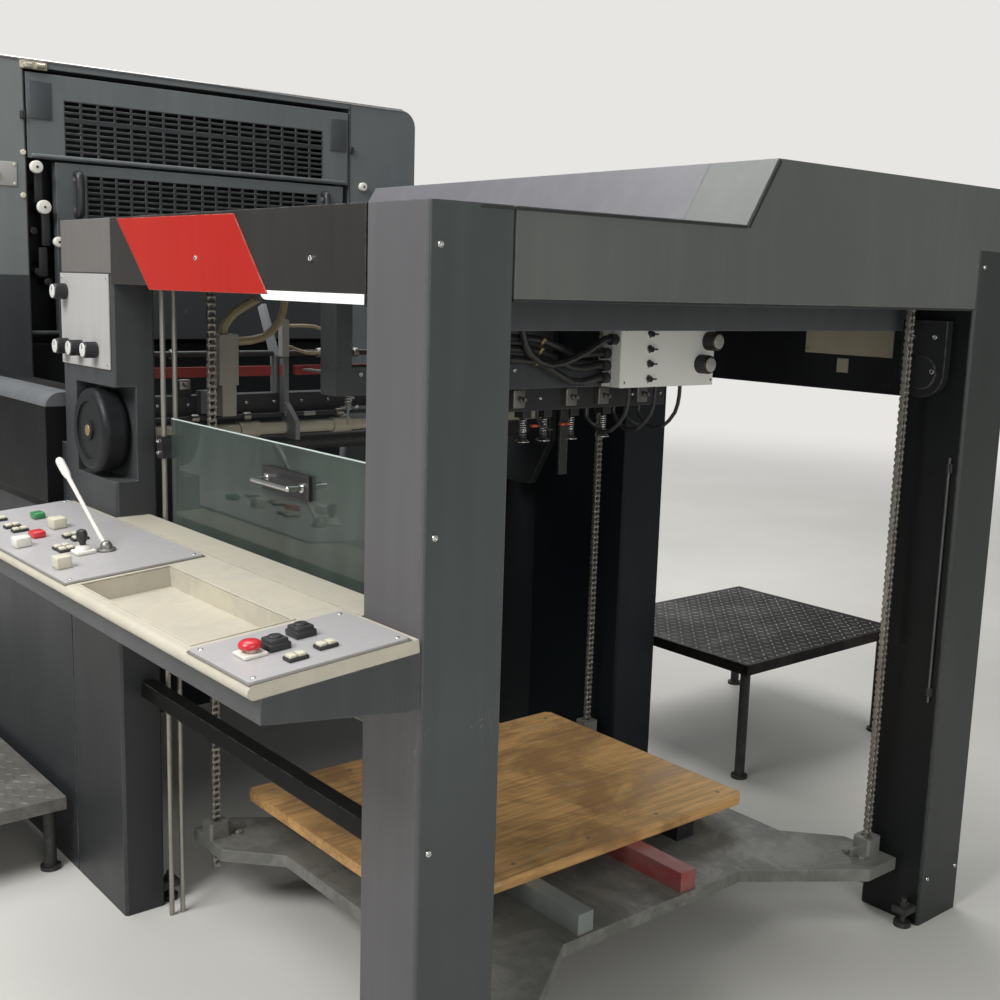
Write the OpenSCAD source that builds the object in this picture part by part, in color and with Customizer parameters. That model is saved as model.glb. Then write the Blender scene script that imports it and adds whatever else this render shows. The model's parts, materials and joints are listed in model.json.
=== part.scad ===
// Pile station and printing unit of a sheet-fed offset press.
// X runs across the press from the operator side to the drive side, Y along the
// press from the open end of the station towards the printing unit, Z up.

/* [Station frame] */
// Width of the frame across the press
frame_w = 1700; // [1500:10:1900]
// Length of the pile station along the press
station_l = 1485; // [1440:5:1600]
// Height of the flat top of the frame
frame_h = 1650; // [1600:5:1750]
// Height that the raised part of the roof stands above the flat top
roof_rise = 125; // [60:5:180]
// Distance from the operator face to the foot of the roof's ramp
ramp_x = 720; // [500:10:900]
// Run of the roof's ramp across the press
ramp_run = 80; // [40:5:150]
// Width of the open-end posts across the press
post_w = 170; // [140:5:190]
// Depth of the open-end posts along the press
post_d = 165; // [130:5:165]
// Thickness of the operator column across the press
column_t = 100; // [90:2:110]
// Length of the operator column along the press
column_l = 303; // [280:1:310]
// Length of the drive column along the press
drive_column_l = 405; // [350:5:420]
// Depth of the top beams from the flat top down
beam_drop = 143; // [100:1:145]
// Depth of the drive beam from the flat top down
drive_beam_drop = 360; // [300:5:400]
// Bevel on the long edges of posts and columns
edge_bevel = 6; // [3:1:12]
// Thickness of the roof's sheet
sheet_t = 4; // [3:0.5:8]

/* [Desk] */
// Height of the desk's surface where it meets the frame
desk_h = 982; // [920:2:1040]
// Reach of the desk out from the operator face
desk_reach = 300; // [250:5:400]
// Slope of the desk down and outwards, in degrees
desk_slope = 4.4; // [0:0.2:10]
// Length of the desk along the press
desk_l = 1440; // [1350:5:1480]
// Thickness of the desk's slab
desk_t = 22; // [15:1:35]
// Length of the tool tray
tray_l = 470; // [300:10:520]
// Width of the tool tray
tray_w = 180; // [120:5:190]
// Depth of the tool tray below the desk's surface
tray_deep = 42; // [30:1:50]
// Height of the trough under the desk at its outer edge
trough_h = 40; // [36:1:60]
// Height of the trough under the desk at the frame
trough_back = 95; // [80:1:130]

/* [Pile lift] */
// Distance of the lift chains from each side of the frame
chain_x = 220; // [205:1:240]
// Distance of the first chains from the open end
chain_y = 129; // [115:1:140]
// Distance between the chains along the press
chain_span = 1016; // [980:2:1020]
// Pitch of the chain
chain_pitch = 15.875; // [15.5:0.125:20]
// Diameter of the chain's rollers
roller_d = 10.2; // [8:0.2:11]
// Height of the chain's link plates
link_h = 14.5; // [13:0.5:15]
// Thickness of a link plate
link_t = 2.4; // [1.6:0.1:3]
// Width between the inner link plates
link_gap = 10; // [8:0.5:14]
// Height of the pile board's top
board_h = 240; // [220:2:300]
// Length of the pile board across the press
board_l = 1030; // [900:5:1060]
// Width of the pile board along the press
board_w = 770; // [600:5:780]
// Thickness of the pile board
board_t = 27; // [18:1:35]
// Height of the rails between the board and the platform
rail_h = 48; // [40:1:60]
// Thickness of the lift platform
platform_t = 30; // [20:1:40]

/* [Glass guard] */
// Height of the sill under the glass
sill_t = 24; // [12:1:40]
// Thickness of the glass
glass_t = 6; // [4:1:8]
// Height of the glass pane
glass_h = 480; // [400:5:520]
// Height of the pane's lower edge
glass_z = 730; // [700:5:800]
// Diameter of the guide rods
rod_d = 12; // [8:1:14]
// Distance of the glass from the operator face
glass_x = 104; // [104:1:110]

/* [Handwheel and knobs] */
// Diameter of the handwheel
wheel_d = 196; // [150:2:200]
// Height of the handwheel's centre
wheel_z = 1170; // [1150:1:1190]
// Thickness of the handwheel
wheel_t = 62; // [40:1:70]
// Diameter of the column's control knobs
knob_d = 37; // [25:1:42]
// Length of the control knobs
knob_l = 30; // [20:1:40]

/* [Printing unit] */
// Gap between the station and the printing unit
feed_l = 945; // [850:5:1100]
// Length of the printing unit along the press
unit_l = 1000; // [800:10:1300]
// Height of the printing unit
unit_h = 2160; // [2100:5:2300]
// Width of the unit's operator side cover
cover_w = 250; // [220:5:320]
// Width of the unit's drive side cover
drive_cover_w = 290; // [220:5:320]
// Radius of the side covers' upper outer edge
cover_r = 60; // [20:2:120]
// Depth of the hinged guards
guard_t = 35; // [25:1:45]
// Height of the upper guard
upper_guard_h = 252; // [200:2:300]
// Height of the lower guard
lower_guard_h = 545; // [450:5:600]
// Number of grille openings across a guard
grille_columns = 17; // [8:1:24]

/* [Footboards] */
// Height of the operator footboard
step_h = 200; // [150:5:400]
// Width of the operator footboard
step_w = 600; // [300:10:900]
// Height of the drive side platform
bench_h = 385; // [250:5:500]
// Width of the drive side platform across the press
bench_w = 810; // [500:10:1000]
// Length of the drive side platform along the press
bench_l = 710; // [400:10:1000]
// Gap between the frame and the drive side platform
bench_gap = 180; // [20:5:400]
// Thickness of the footboards' tread plate
tread_t = 5; // [3:1:8]
// Depth of the footboards' turned-down edge
tread_lip = 34; // [20:1:50]

/* [Hidden] */
$fn = 48;

// Running clearance of a pin or rod in its bore, on the radius
run_gap = 0.05;
// Clearance round moving pieces
move_gap = 6;

// Frame
roof_h = frame_h + roof_rise;
beam_z = frame_h - beam_drop;
drive_beam_z = frame_h - drive_beam_drop;
post_drop = 13;
post_top = frame_h - post_drop;
column_y = station_l - column_l;
drive_column_y = station_l - drive_column_l;
end_beam_y = station_l - 100;
roof_end_y = station_l - 150;
foot_d = 42;
foot_t = 12;

// Whole part
unit_y = station_l + feed_l;
total_l = unit_y + unit_l;
step_gap = 20;
bench_y = 850;
x_min = -max(step_w + step_gap, desk_reach);
x_max = frame_w + bench_gap + bench_w;
mid_x = (x_min + x_max) / 2;
mid_y = total_l / 2;

// Desk
tray_y = 225;
tray_edge = 25;
tray_wall = 3;
tray_gap = 1;
console_t = 5;
desk_gap = 2;

// Lift
board_x = (frame_w - board_l) / 2;
board_y = 430;
board_z = board_h - board_t;
platform_z = board_z - rail_h;
chain_w = link_gap + 4 * link_t;
chain_y2 = chain_y + chain_span;
link_waist = 0.66 * link_h;
chain_low = 60;
slot_x = chain_w / 2 + 0.3;
slot_y = link_h / 2 + move_gap;
ear_h = 40;
ear_w = 52;
ear_x = frame_w - chain_x + ear_w / 2;
ear_in = 110;
ear_slant = 185;
bracket_t = 53;
bearing_h = 178;
bearing_drop = 30;
bearing_l = 115;
bearing_t = 22;

// Guard
rod_y1 = post_d + 22;
rod_y2 = column_y - 54;
rod_edge = 16;
glass_y1 = rod_y1 + rod_edge;
glass_y2 = rod_y2 - rod_edge;
glass_mid = glass_x + glass_t / 2;
rod_dx = 14;
rod_bracket_w = glass_mid + rod_dx + 10 - column_t;
rod_bracket_t = 22;
slider_h = 50;
slider_z = glass_z + glass_h - 90;
grip_d = 12;
grip_reach = 38;
grip_y = 524;
grip_l = 172;
grip_z = glass_z + glass_h - 72;
bar_out = 50;
bar_z = 545;
bar_w = 34;
bar_h = 38;
bar_wall = 4;
sill_w = 80;

// Handwheel
wheel_y = column_y + 118;
niche_h = wheel_d + 20;
niche_deep = 52;
hub_d = 24;
rim_r = 15;

// Column panel
panel_t = 4;
panel_h = 212;
panel_z = frame_h - 334;
panel_edge = 8;
knob_places = [[station_l - 38, panel_z + 169], [station_l - 43, panel_z + 41],
    [station_l - 128, panel_z + 41], [station_l - 216, panel_z + 41]];
knob_pin_d = 8;
knob_gap = 1;
knob_ribs = 16;
rib_h = 1.2;

// Plates and lamp
red_t = 2;
plate_t = 2;
plate_y = 245;
plate_w = 262;
plate_h = 93;
plate_z = drive_beam_z + 90;
tag_y = 372;
tag_w = 34;
tag_h = 36;
lamp_x = 182;
lamp_y = 400;
lamp_l = 435;
lamp_w = 34;

// Head
head_rail_x = 280;
head_rail_w = 40;
head_rail_h = 50;
rail_drop = 50;
head_bar_y = 700;
head_bar_w = 60;
head_bar_z = frame_h - 360;
manifold_x = 640;
manifold_w = 60;
manifold_out = 60;
manifold_h = 100;
box_w = 338;
box_x = frame_w - head_rail_x - head_rail_w - box_w - 8;
box_y = 620;
box_z = head_bar_z + 2;
box_h = 151;
box_t = 70;
air_knob_d = 48;
air_knob_l = 34;
air_knob_places = [[box_w - 28, 112], [box_w - 54, 54]];
tap_x = 96;
tap_places = [20, 57, 93, 130];
tap_d = 14;
tap_l = 10;
hose_d = 18;
hose_y = box_y + 46;
top_hose_y = box_y + 22;
fit_gap = 0.4;
hose_places = [22, 52, 82, 116];
collar_l = 14;
loop_d = 10;
loop_places = [76, 170, 262];
cup_z = head_bar_z - 140;
cup_places = [640, 760, 877, 945, 1036, 1149];
head_x = 600;
head_l = 740;
head_h = 60;
head_w = 70;
sucker_y = head_bar_y + head_bar_w + 35;

// Infeed and feed
frame_side_h = 1120;
table_drop = 160;
hood_r = 40;
cheek_t = 25;
cheek_l = 240;
cheek_h = 560;
cheek_top = beam_z - 47;
infeed_y = end_beam_y + 72;
arm_x = 600;
arm_t = 14;
hose_box_x = arm_x - 206;
hose_box_y = infeed_y - 62;
hose_box_z = cheek_top - 205;
hose_box_h = 130;
fitting_x = arm_x + arm_t / 2;
fitting_y = infeed_y + 33;
fitting_z = cheek_top - 140;

// Unit
guard_gap = move_gap;
guard_x = cover_w + guard_gap;
guard_w = frame_w - drive_cover_w - guard_gap - guard_x;
guard_top = unit_h - 35;
upper_guard_z = guard_top - upper_guard_h;
lower_guard_z = upper_guard_z - 8 - lower_guard_h;
lower_in = 84;
lower_in2 = 20;
pin_d = 16;
pin_seat = 14;
upper_pin_z = guard_top - 20;
lower_pin_z = lower_guard_z + 20;
guard_y = unit_y;
pin_y = guard_y + guard_t / 2;
guard_sheet = 4;
top_t = 20;
groove = 3;

module place() {
    translate([-mid_x, -mid_y, 0]) children();
}

// A second copy, mirrored about the press's middle
module on_both_sides() {
    children();
    translate([frame_w, 0, 0]) mirror([1, 0, 0]) children();
}

// Box with its four upright edges bevelled
module bevelled_post(w, d, h, c) {
    linear_extrude(h)
        polygon([[c, 0], [w - c, 0], [w, c], [w, d - c], [w - c, d], [c, d],
            [0, d - c], [0, c]]);
}

// Outline in X and Z carried along Y from y0 for a length l
module along_y(y0, l) {
    translate([0, y0 + l, 0]) rotate([90, 0, 0]) linear_extrude(l) children();
}

// Outline in Y and Z carried along X from x0 for a length l
module along_x(x0, l) {
    translate([x0, 0, 0]) rotate([90, 0, 90]) linear_extrude(l) children();
}

// Round bar along X from x0 for a length l, centred on y and z
module bar_x(x0, l, y, z, d) {
    translate([x0, y, z]) rotate([0, 90, 0]) cylinder(h = l, d = d);
}

// Coil of closed rings round an upright axis, from the height z up
module coil(z, turns, pitch, r, wire) {
    for (i = [0 : turns - 1])
        translate([0, 0, z + i * pitch]) rotate_extrude() translate([r, 0]) circle(d = wire, $fn = 12);
}

module near_post() {
    color("#4b4b4f") bevelled_post(post_w, post_d, frame_h, edge_bevel);
}

module right_post() {
    color("#4a4d4a") translate([frame_w - post_w, 0, 0])
        bevelled_post(post_w, post_d, post_top, edge_bevel);
}

module operator_column() {
    color("#55555a") difference() {
        translate([0, column_y, 0])
            bevelled_post(column_t, column_l, frame_h, edge_bevel);
        // Niche for the handwheel, open towards the pile
        translate([-1, column_y - 1, wheel_z - niche_h / 2])
            cube([niche_deep + 1, wheel_y - column_y + niche_h / 2 + 1, niche_h]);
        // Bearing of the handwheel's shaft
        bar_x(niche_deep - 1, 32, wheel_y, wheel_z, hub_d + 2 * run_gap);
    }
}

module drive_column() {
    color("#3b4148") translate([frame_w - post_w, drive_column_y, 0])
        bevelled_post(post_w, drive_column_l, post_top, edge_bevel);
}

// The end beam steps up by a ramp to the raised part of the roof
module end_beam() {
    color("#50544f") along_y(0, post_d)
        polygon([[post_w, beam_z], [frame_w - post_w, beam_z],
            [frame_w - post_w, post_top], [frame_w, post_top], [frame_w, roof_h],
            [ramp_x + ramp_run, roof_h], [ramp_x, frame_h], [post_w, frame_h]]);
}

module unit_end_beam() {
    color("#4a4d4a") translate([column_t, end_beam_y, beam_z])
        cube([frame_w - post_w - column_t, station_l - end_beam_y, beam_drop]);
}

module operator_beam() {
    color("#48464a") translate([0, post_d, beam_z])
        cube([column_t, column_y - post_d, beam_drop]);
}

// Deep beam on the drive side, with the packing above the drive column
module drive_beam() {
    color("#3a3c3c") {
        translate([frame_w - column_t, post_d, drive_beam_z])
            cube([column_t, drive_column_y - post_d, roof_h - sheet_t - drive_beam_z]);
        translate([frame_w - column_t, drive_column_y, post_top])
            cube([column_t, roof_end_y - drive_column_y, roof_h - sheet_t - post_top]);
        translate([frame_w - post_w, roof_end_y, post_top])
            cube([post_w, end_beam_y - roof_end_y, post_drop - sheet_t]);
        translate([frame_w - post_w, end_beam_y, post_top])
            cube([post_w, station_l - end_beam_y, post_drop]);
    }
}

// Sheet over the station, with the raised part's closing plate at its far end
module roof_cover() {
    color("#5d5d66") {
        along_y(post_d, roof_end_y - post_d)
            polygon([[column_t, frame_h], [ramp_x, frame_h], [ramp_x + ramp_run, roof_h],
                [frame_w, roof_h], [frame_w, roof_h - sheet_t],
                [ramp_x + ramp_run + sheet_t / 2, roof_h - sheet_t],
                [ramp_x + sheet_t / 2, frame_h - sheet_t], [column_t, frame_h - sheet_t]]);
        along_y(roof_end_y, sheet_t)
            polygon([[ramp_x, frame_h - sheet_t], [ramp_x, frame_h],
                [ramp_x + ramp_run, roof_h], [frame_w, roof_h],
                [frame_w, frame_h - sheet_t]]);
        translate([column_t, roof_end_y, frame_h - sheet_t])
            cube([frame_w - column_t, end_beam_y - roof_end_y, sheet_t]);
    }
}

// Link plate in Y and Z between two pins, with a waist between its round ends
module link_plate(x0, d) {
    along_x(x0, link_t) {
        circle(d = d);
        translate([0, chain_pitch]) circle(d = d);
        translate([-link_waist / 2, 0]) square([link_waist, chain_pitch]);
    }
}

// One run of roller chain, hung from the beams: inner links and, in turn, the outer
// ones, whose plates are 1 mm less high
module chain_run() {
    top = beam_z - link_h / 2;
    // An odd number, so that the last link is an inner one and holds its roller
    links = 1 + 2 * floor(((top - chain_low) / chain_pitch - 1) / 2);
    for (i = [0 : links - 1])
        translate([0, 0, top - (i + 1) * chain_pitch])
            for (side = [0, 1])
                mirror([side, 0, 0])
                    link_plate(link_gap / 2 + (i % 2) * link_t, link_h - (i % 2));
    for (i = [0 : links])
        bar_x(-link_gap / 2, link_gap, 0, top - i * chain_pitch, roller_d);
}

module lift_chains() {
    color("#7c766c") on_both_sides()
        for (y = [chain_y, chain_y2])
            translate([chain_x, y, 0]) chain_run();
}

// Carriers of the chains: blocks on the open-end posts, arms at the unit end
module chain_brackets() {
    arm = ear_w - 2;
    boss_z = beam_z - bearing_drop - bearing_h + bearing_l / 2;
    boss_y = post_d - bearing_l / 2;
    color("#33363a") {
        difference() {
            translate([column_t, chain_y2 - arm / 2, beam_z])
                cube([chain_x + arm / 2 - column_t, arm, bracket_t]);
            // Notch round the rods' upper bracket
            translate([column_t - 1, rod_y2 - rod_bracket_t / 2 - fit_gap, beam_z - 1])
                cube([rod_bracket_w + 1 + fit_gap, rod_bracket_t + 2 * fit_gap,
                    rod_bracket_t + 1 + fit_gap]);
        }
        translate([frame_w - chain_x - arm / 2, chain_y2 - arm / 2, beam_z])
            cube([chain_x + arm / 2 - post_w, arm, bracket_t]);
        on_both_sides() {
            along_x(post_w, bearing_t) {
                translate([boss_y, boss_z]) circle(d = bearing_l);
                translate([boss_y - bearing_l / 2, boss_z])
                    square([bearing_l, bearing_h - bearing_l / 2]);
            }
            bar_x(post_w, bearing_t + 5, boss_y, boss_z, 76);
        }
    }
}

// Levelling foot on a bracket whose back lies on an upright face at X 0
module levelling_foot() {
    x = foot_d / 2 + 3;
    cylinder_z = foot_t + 60;
    translate([x, 0, 0]) cylinder(h = foot_t, d = foot_d);
    translate([x, 0, 0]) cylinder(h = cylinder_z, d = 14);
    translate([0, -20, 36]) cube([x + 20, 40, 16]);
    translate([x, 0, 52]) cylinder(h = 10, d = 26, $fn = 6);
}

module floor_feet() {
    color("#1b1b1c") {
        translate([post_w, 28, 0]) levelling_foot();
        translate([frame_w - post_w, 28, 0]) mirror([1, 0, 0]) levelling_foot();
        translate([column_t, column_y + 28, 0]) levelling_foot();
        translate([frame_w - post_w, station_l - 60, 0]) mirror([1, 0, 0]) levelling_foot();
        footboard_legs(-step_w - step_gap, station_l + step_gap, step_h, step_w,
            total_l - station_l - step_gap, 3);
        footboard_legs(frame_w + bench_gap, bench_y, bench_h, bench_w, bench_l, 2);
    }
}

// Ledge inside the operator window, level with the desk
module window_sill() {
    color("#d8d5c6") translate([0, post_d, desk_h - sill_t])
        cube([sill_w, column_y - post_d, sill_t]);
}

// Two upright rods at each end of the pane, with a bracket over each pair
module guard_rods() {
    color("#b9bcbd")
        for (y = [rod_y1, rod_y2]) {
            translate([glass_mid - rod_dx, y, 0]) cylinder(h = beam_z, d = rod_d);
            translate([glass_mid + rod_dx, y, 0]) cylinder(h = beam_z + 1, d = rod_d);
            translate([column_t, y - rod_bracket_t / 2, beam_z])
                cube([rod_bracket_w, rod_bracket_t, rod_bracket_t]);
        }
}

module glass_pane() {
    color("#9fb5ab", 0.4) translate([glass_x, glass_y1, glass_z])
        cube([glass_t, glass_y2 - glass_y1, glass_h]);
}

// Slider that holds one edge of the pane on its two rods
module guard_slider(y, face) {
    difference() {
        translate([glass_mid - rod_dx - 12, min(y - 12, face), slider_z])
            cube([2 * rod_dx + 24, abs(face - y) + 12, slider_h]);
        for (side = [-1, 1])
            translate([glass_mid + side * rod_dx, y, slider_z - 1])
                cylinder(h = slider_h + 2, d = rod_d + 2 * run_gap);
    }
}

// Sliders of the pane, and the backing plate of its grip
module guard_handle() {
    color("#202124") {
        guard_slider(rod_y1, glass_y1);
        guard_slider(rod_y2, glass_y2);
        translate([glass_x - 8, grip_y - 26, grip_z - 24]) cube([8, grip_l + 8, 48]);
    }
}

// Bow grip with rounded ends on two feet
module guard_grip() {
    x = glass_x - 8 - grip_reach + grip_d / 2;
    color("#c9cccd") {
        translate([x, grip_y - 4, grip_z]) rotate([-90, 0, 0]) cylinder(h = grip_l - 36, d = grip_d);
        for (y = [grip_y - 4, grip_y + grip_l - 40])
            translate([x, y, grip_z]) sphere(d = grip_d);
        for (y = [grip_y - 4, grip_y + grip_l - 40]) {
            bar_x(x, grip_reach - grip_d / 2, y, grip_z, grip_d);
            bar_x(glass_x - 8 - 4, 4, y, grip_z, grip_d + 8);
        }
    }
}

// Channel across the operator side, open towards the pile
module safety_bar() {
    color("#4c5052") along_y(post_d, column_y - post_d)
        polygon([[bar_out, bar_z], [bar_out + bar_w, bar_z],
            [bar_out + bar_w, bar_z + bar_wall], [bar_out + bar_wall, bar_z + bar_wall],
            [bar_out + bar_wall, bar_z + bar_h - bar_wall],
            [bar_out + bar_w, bar_z + bar_h - bar_wall], [bar_out + bar_w, bar_z + bar_h],
            [bar_out, bar_z + bar_h]]);
}

// Turns the desk's flat pieces to its slope about the frame's face
module on_desk() {
    translate([0, 0, desk_h]) rotate([0, -desk_slope, 0]) children();
}

// Slab with a rounded outer edge and an opening for the tray
module desk_top() {
    nose = desk_t / 2;
    color("#d8d5c6") on_desk() difference() {
        along_y(0, desk_l) {
            translate([-desk_reach + nose, -nose]) circle(r = nose);
            translate([-desk_reach + nose, -desk_t])
                square([desk_reach - nose - desk_gap, desk_t]);
        }
        translate([-desk_reach + tray_edge, tray_y, -desk_t - 1])
            cube([tray_w, tray_l, desk_t + 2]);
    }
}

module desk_tray() {
    color("#c9c5b2") on_desk() difference() {
        translate([-desk_reach + tray_edge, tray_y, -tray_deep])
            cube([tray_w, tray_l, tray_deep - tray_gap]);
        translate([-desk_reach + tray_edge + tray_wall, tray_y + tray_wall,
            -tray_deep + tray_wall])
            cube([tray_w - 2 * tray_wall, tray_l - 2 * tray_wall, tray_deep]);
    }
}

// Height of the underside of the desk's slab at the place x
function under_desk(x) = desk_h + x * tan(desk_slope) - desk_t / cos(desk_slope);

module desk_trough() {
    lip_x = -desk_reach + 22;
    color("#3d4043") difference() {
        along_y(0, desk_l)
            polygon([[0, under_desk(0)], [lip_x, under_desk(lip_x)],
                [lip_x, under_desk(lip_x) - trough_h], [0, under_desk(0) - trough_back]]);
        // Room for the tray
        on_desk() translate([-desk_reach + tray_edge - tray_gap, tray_y - tray_gap,
            -tray_deep - tray_gap])
            cube([tray_w + 2 * tray_gap, tray_l + 2 * tray_gap, tray_deep + 2]);
    }
}

// The two control plates, with their corners cut
module desk_consoles() {
    far_y = tray_y + tray_l + 15;
    color("#b9bcbc") on_desk() {
        translate([-desk_reach + 6, far_y, 0])
            bevelled_post(desk_reach - 22, desk_l - far_y - 4, console_t, 5);
        translate([-desk_reach + 6, 4, 0])
            bevelled_post(desk_reach - 22, tray_y - 30, console_t, 5);
    }
}

// Square button on its bezel
module square_button(x, y, w, h) {
    translate([x - w / 2, y - w / 2, 0]) cube([w, w, h * 0.45]);
    translate([x, y, h * 0.45]) rotate([0, 0, 45])
        cylinder(h = h * 0.55, d1 = (w - 6) * sqrt(2), d2 = (w - 11) * sqrt(2), $fn = 4);
}

// Two keys side by side in one bezel
module key_pair(x, y) {
    translate([x - 17, y - 11, 0]) cube([34, 22, 5]);
    for (side = [-1, 1])
        translate([x + side * 8 - 6, y - 8, 0]) cube([12, 16, 9]);
}

module round_button(x, y, d, h) {
    translate([x, y, 0]) {
        cylinder(h = 4, d = d + 6);
        cylinder(h = h - 3, d = d);
        translate([0, 0, h - 3]) cylinder(h = 3, d1 = d, d2 = d - 5);
    }
}

module mushroom_button(x, y) {
    translate([x - 19, y - 19, 0]) cube([38, 38, 4]);
    translate([x, y, 0]) {
        cylinder(h = 14, d = 16);
        translate([0, 0, 13]) cylinder(h = 8, d = 34);
        translate([0, 0, 21]) cylinder(h = 4, d1 = 34, d2 = 22);
    }
}

module desk_buttons() {
    color("#20201f") on_desk() translate([0, 0, console_t]) {
        mushroom_button(-236, 108);
        square_button(-192, 111, 36, 22);
        square_button(-132, 136, 36, 22);
        key_pair(-195, 44);
        key_pair(-134, 59);
        for (y = [942, 968])
            key_pair(-205, y);
        key_pair(-149, 1015);
        key_pair(-153, 1054);
        square_button(-205, 1110, 28, 14);
        round_button(-258, 1050, 22, 18);
        round_button(-142, 1162, 22, 18);
        round_button(-258, 821, 24, 20);
        round_button(-140, 1292, 22, 14);
        for (y = [1190, 1240, 1330])
            key_pair(-215, y);
        // Joystick on its square gaiter
        translate([-206, 879, 0]) cube([40, 40, 4]);
        translate([-186, 899, 4]) cylinder(h = 14, d1 = 32, d2 = 14);
        translate([-186, 899, 17]) cylinder(h = 22, d = 12);
        translate([-186, 899, 39]) sphere(d = 20);
    }
}

// Swan-neck wand: upright collar, leaning rod and a thicker grip
module desk_wand() {
    color("#e4e2d8") on_desk() translate([-144, 884, console_t]) {
        cylinder(h = 5, d = 38);
        cylinder(h = 22, d = 26);
        translate([0, 0, 9]) rotate([-58, 0, 0]) {
            cylinder(h = 262, d = 9);
            translate([0, 0, 258]) cylinder(h = 12, d1 = 12, d2 = 24);
            translate([0, 0, 270]) cylinder(h = 58, d = 24);
            translate([0, 0, 328]) sphere(d = 24);
        }
    }
}

module column_panel() {
    color("#c3c4c4") difference() {
        translate([-panel_t, column_y + panel_edge, panel_z])
            cube([panel_t, column_l - panel_edge - edge_bevel, panel_h]);
        for (p = knob_places)
            bar_x(-panel_t - 1, panel_t + 2, p[0], p[1], knob_pin_d + 2 * run_gap);
    }
}

// Knob along Z with a fluted skirt and a bevelled cap
module fluted_knob(d, l, ribs) {
    cylinder(h = 3, d = d);
    cylinder(h = l - 2, d = d - 2 * rib_h);
    translate([0, 0, l - 2]) cylinder(h = 2, d1 = d - 2 * rib_h, d2 = d - 2 * rib_h - 4);
    for (i = [0 : ribs - 1])
        rotate([0, 0, i * 360 / ribs])
            translate([0, -rib_h, 3]) cube([d / 2 - 0.2, 2 * rib_h, l - 8]);
}

module column_knob(i) {
    p = knob_places[i];
    color("#1f2022") {
        translate([-panel_t - knob_gap, p[0], p[1]]) rotate([0, -90, 0])
            fluted_knob(knob_d, knob_l, knob_ribs);
        bar_x(-panel_t - knob_gap - 1, panel_t + knob_gap + 0.7, p[0], p[1], knob_pin_d);
    }
}

// Drum-like wheel with rounded rims, dished on its outer face
module handwheel() {
    wheel_r = wheel_d / 2;
    color("#232427") {
        translate([niche_deep - move_gap - wheel_t, wheel_y, wheel_z]) rotate([0, 90, 0])
            rotate_extrude() {
                translate([0, 5]) square([wheel_r - 2 * rim_r, wheel_t - 5]);
                translate([wheel_r - 2 * rim_r, 0]) square([rim_r, wheel_t]);
                translate([wheel_r - rim_r, rim_r]) square([rim_r, wheel_t - 2 * rim_r]);
                for (z = [rim_r, wheel_t - rim_r])
                    translate([wheel_r - rim_r, z]) circle(r = rim_r);
                square([22, 7]);
            }
        bar_x(niche_deep - move_gap - 1, 36, wheel_y, wheel_z, hub_d);
    }
}

// Bare plate that hangs from the operator beam, its ends cut on a slant
module red_plate() {
    color("#c8231c") rotate([90, 0, -90]) linear_extrude(red_t)
        polygon([[-(column_y - 41), frame_h - 3], [-604, frame_h - 6],
            [-478, frame_h - 150], [-(column_y - 204), frame_h - 152]]);
}

// Bare plate on the drive beam, with a small one under it
module drive_plate() {
    x = frame_w - column_t - plate_t;
    color("#c9c1a3") {
        translate([x, plate_y, plate_z]) cube([plate_t, plate_w, plate_h]);
        translate([x, tag_y, plate_z - tag_h - 9]) cube([plate_t, tag_w, tag_h]);
    }
}

// Lamp under the operator beam: tray, half-round diffuser and two hangers
module strip_lamp() {
    color("#e8ecee") {
        translate([lamp_x - lamp_w / 2, lamp_y, beam_z - 8]) cube([lamp_w, lamp_l, 8]);
        along_y(lamp_y + 6, lamp_l - 12) translate([lamp_x, beam_z - 8]) difference() {
            circle(d = lamp_w - 6);
            translate([-lamp_w, 0]) square([2 * lamp_w, lamp_w]);
        }
        for (y = [lamp_y + 40, lamp_y + lamp_l - 64])
            translate([column_t, y, beam_z]) cube([lamp_x - column_t + 10, 24, 4]);
    }
}

// Outline of the lift platform, with an ear at each chain
module platform_outline() {
    near = chain_y - 69;
    far = chain_y2 + 69;
    inner = ear_x - ear_in;
    body = inner - 260;
    polygon([[frame_w - body, near + ear_slant], [body, near + ear_slant], [inner, near],
        [ear_x, near], [ear_x, near + 150], [inner, near + 270],
        [inner, far - 270], [ear_x, far - 150], [ear_x, far],
        [inner, far], [body, far - ear_slant], [frame_w - body, far - ear_slant],
        [frame_w - inner, far], [frame_w - ear_x, far],
        [frame_w - ear_x, far - 150], [frame_w - inner, far - 270],
        [frame_w - inner, near + 270], [frame_w - ear_x, near + 150],
        [frame_w - ear_x, near], [frame_w - inner, near]]);
}

// Platform with an ear and a raised guide block at each chain
module lift_platform() {
    color("#6f6f68") difference() {
        union() {
            translate([0, 0, platform_z - platform_t]) linear_extrude(platform_t)
                platform_outline();
            on_both_sides() for (y = [chain_y, chain_y2]) {
                translate([chain_x - ear_w / 2, y - 24, platform_z])
                    bevelled_post(ear_w, 48, ear_h, 5);
                translate([chain_x + ear_w / 2, y - 4, platform_z])
                    cube([40, 8, ear_h / 2]);
            }
        }
        on_both_sides() for (y = [chain_y, chain_y2])
            translate([chain_x - slot_x, y - slot_y, platform_z - platform_t - 1])
                cube([2 * slot_x, 2 * slot_y, platform_t + ear_h + 2]);
    }
}

// Plywood board with its corners worn round
module pile_board() {
    color("#9a6f42") translate([board_x, board_y, board_z])
        bevelled_post(board_l, board_w, board_t, 14);
}

// Runner and blocks that carry the board
module board_rails() {
    color("#5b625c") {
        translate([board_x + 278, board_y - 178, platform_z]) cube([44, 760, rail_h]);
        for (x = [board_x + 100, board_x + board_l - 235])
            for (y = [board_y + 12, board_y + board_w - 270])
                translate([x, y, platform_z]) cube([60, 90, rail_h]);
    }
}

module red_rail() {
    color("#8c2a2c") translate([board_x + 600, board_y - 178, platform_z])
        cube([48, 760, rail_h]);
}

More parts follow.
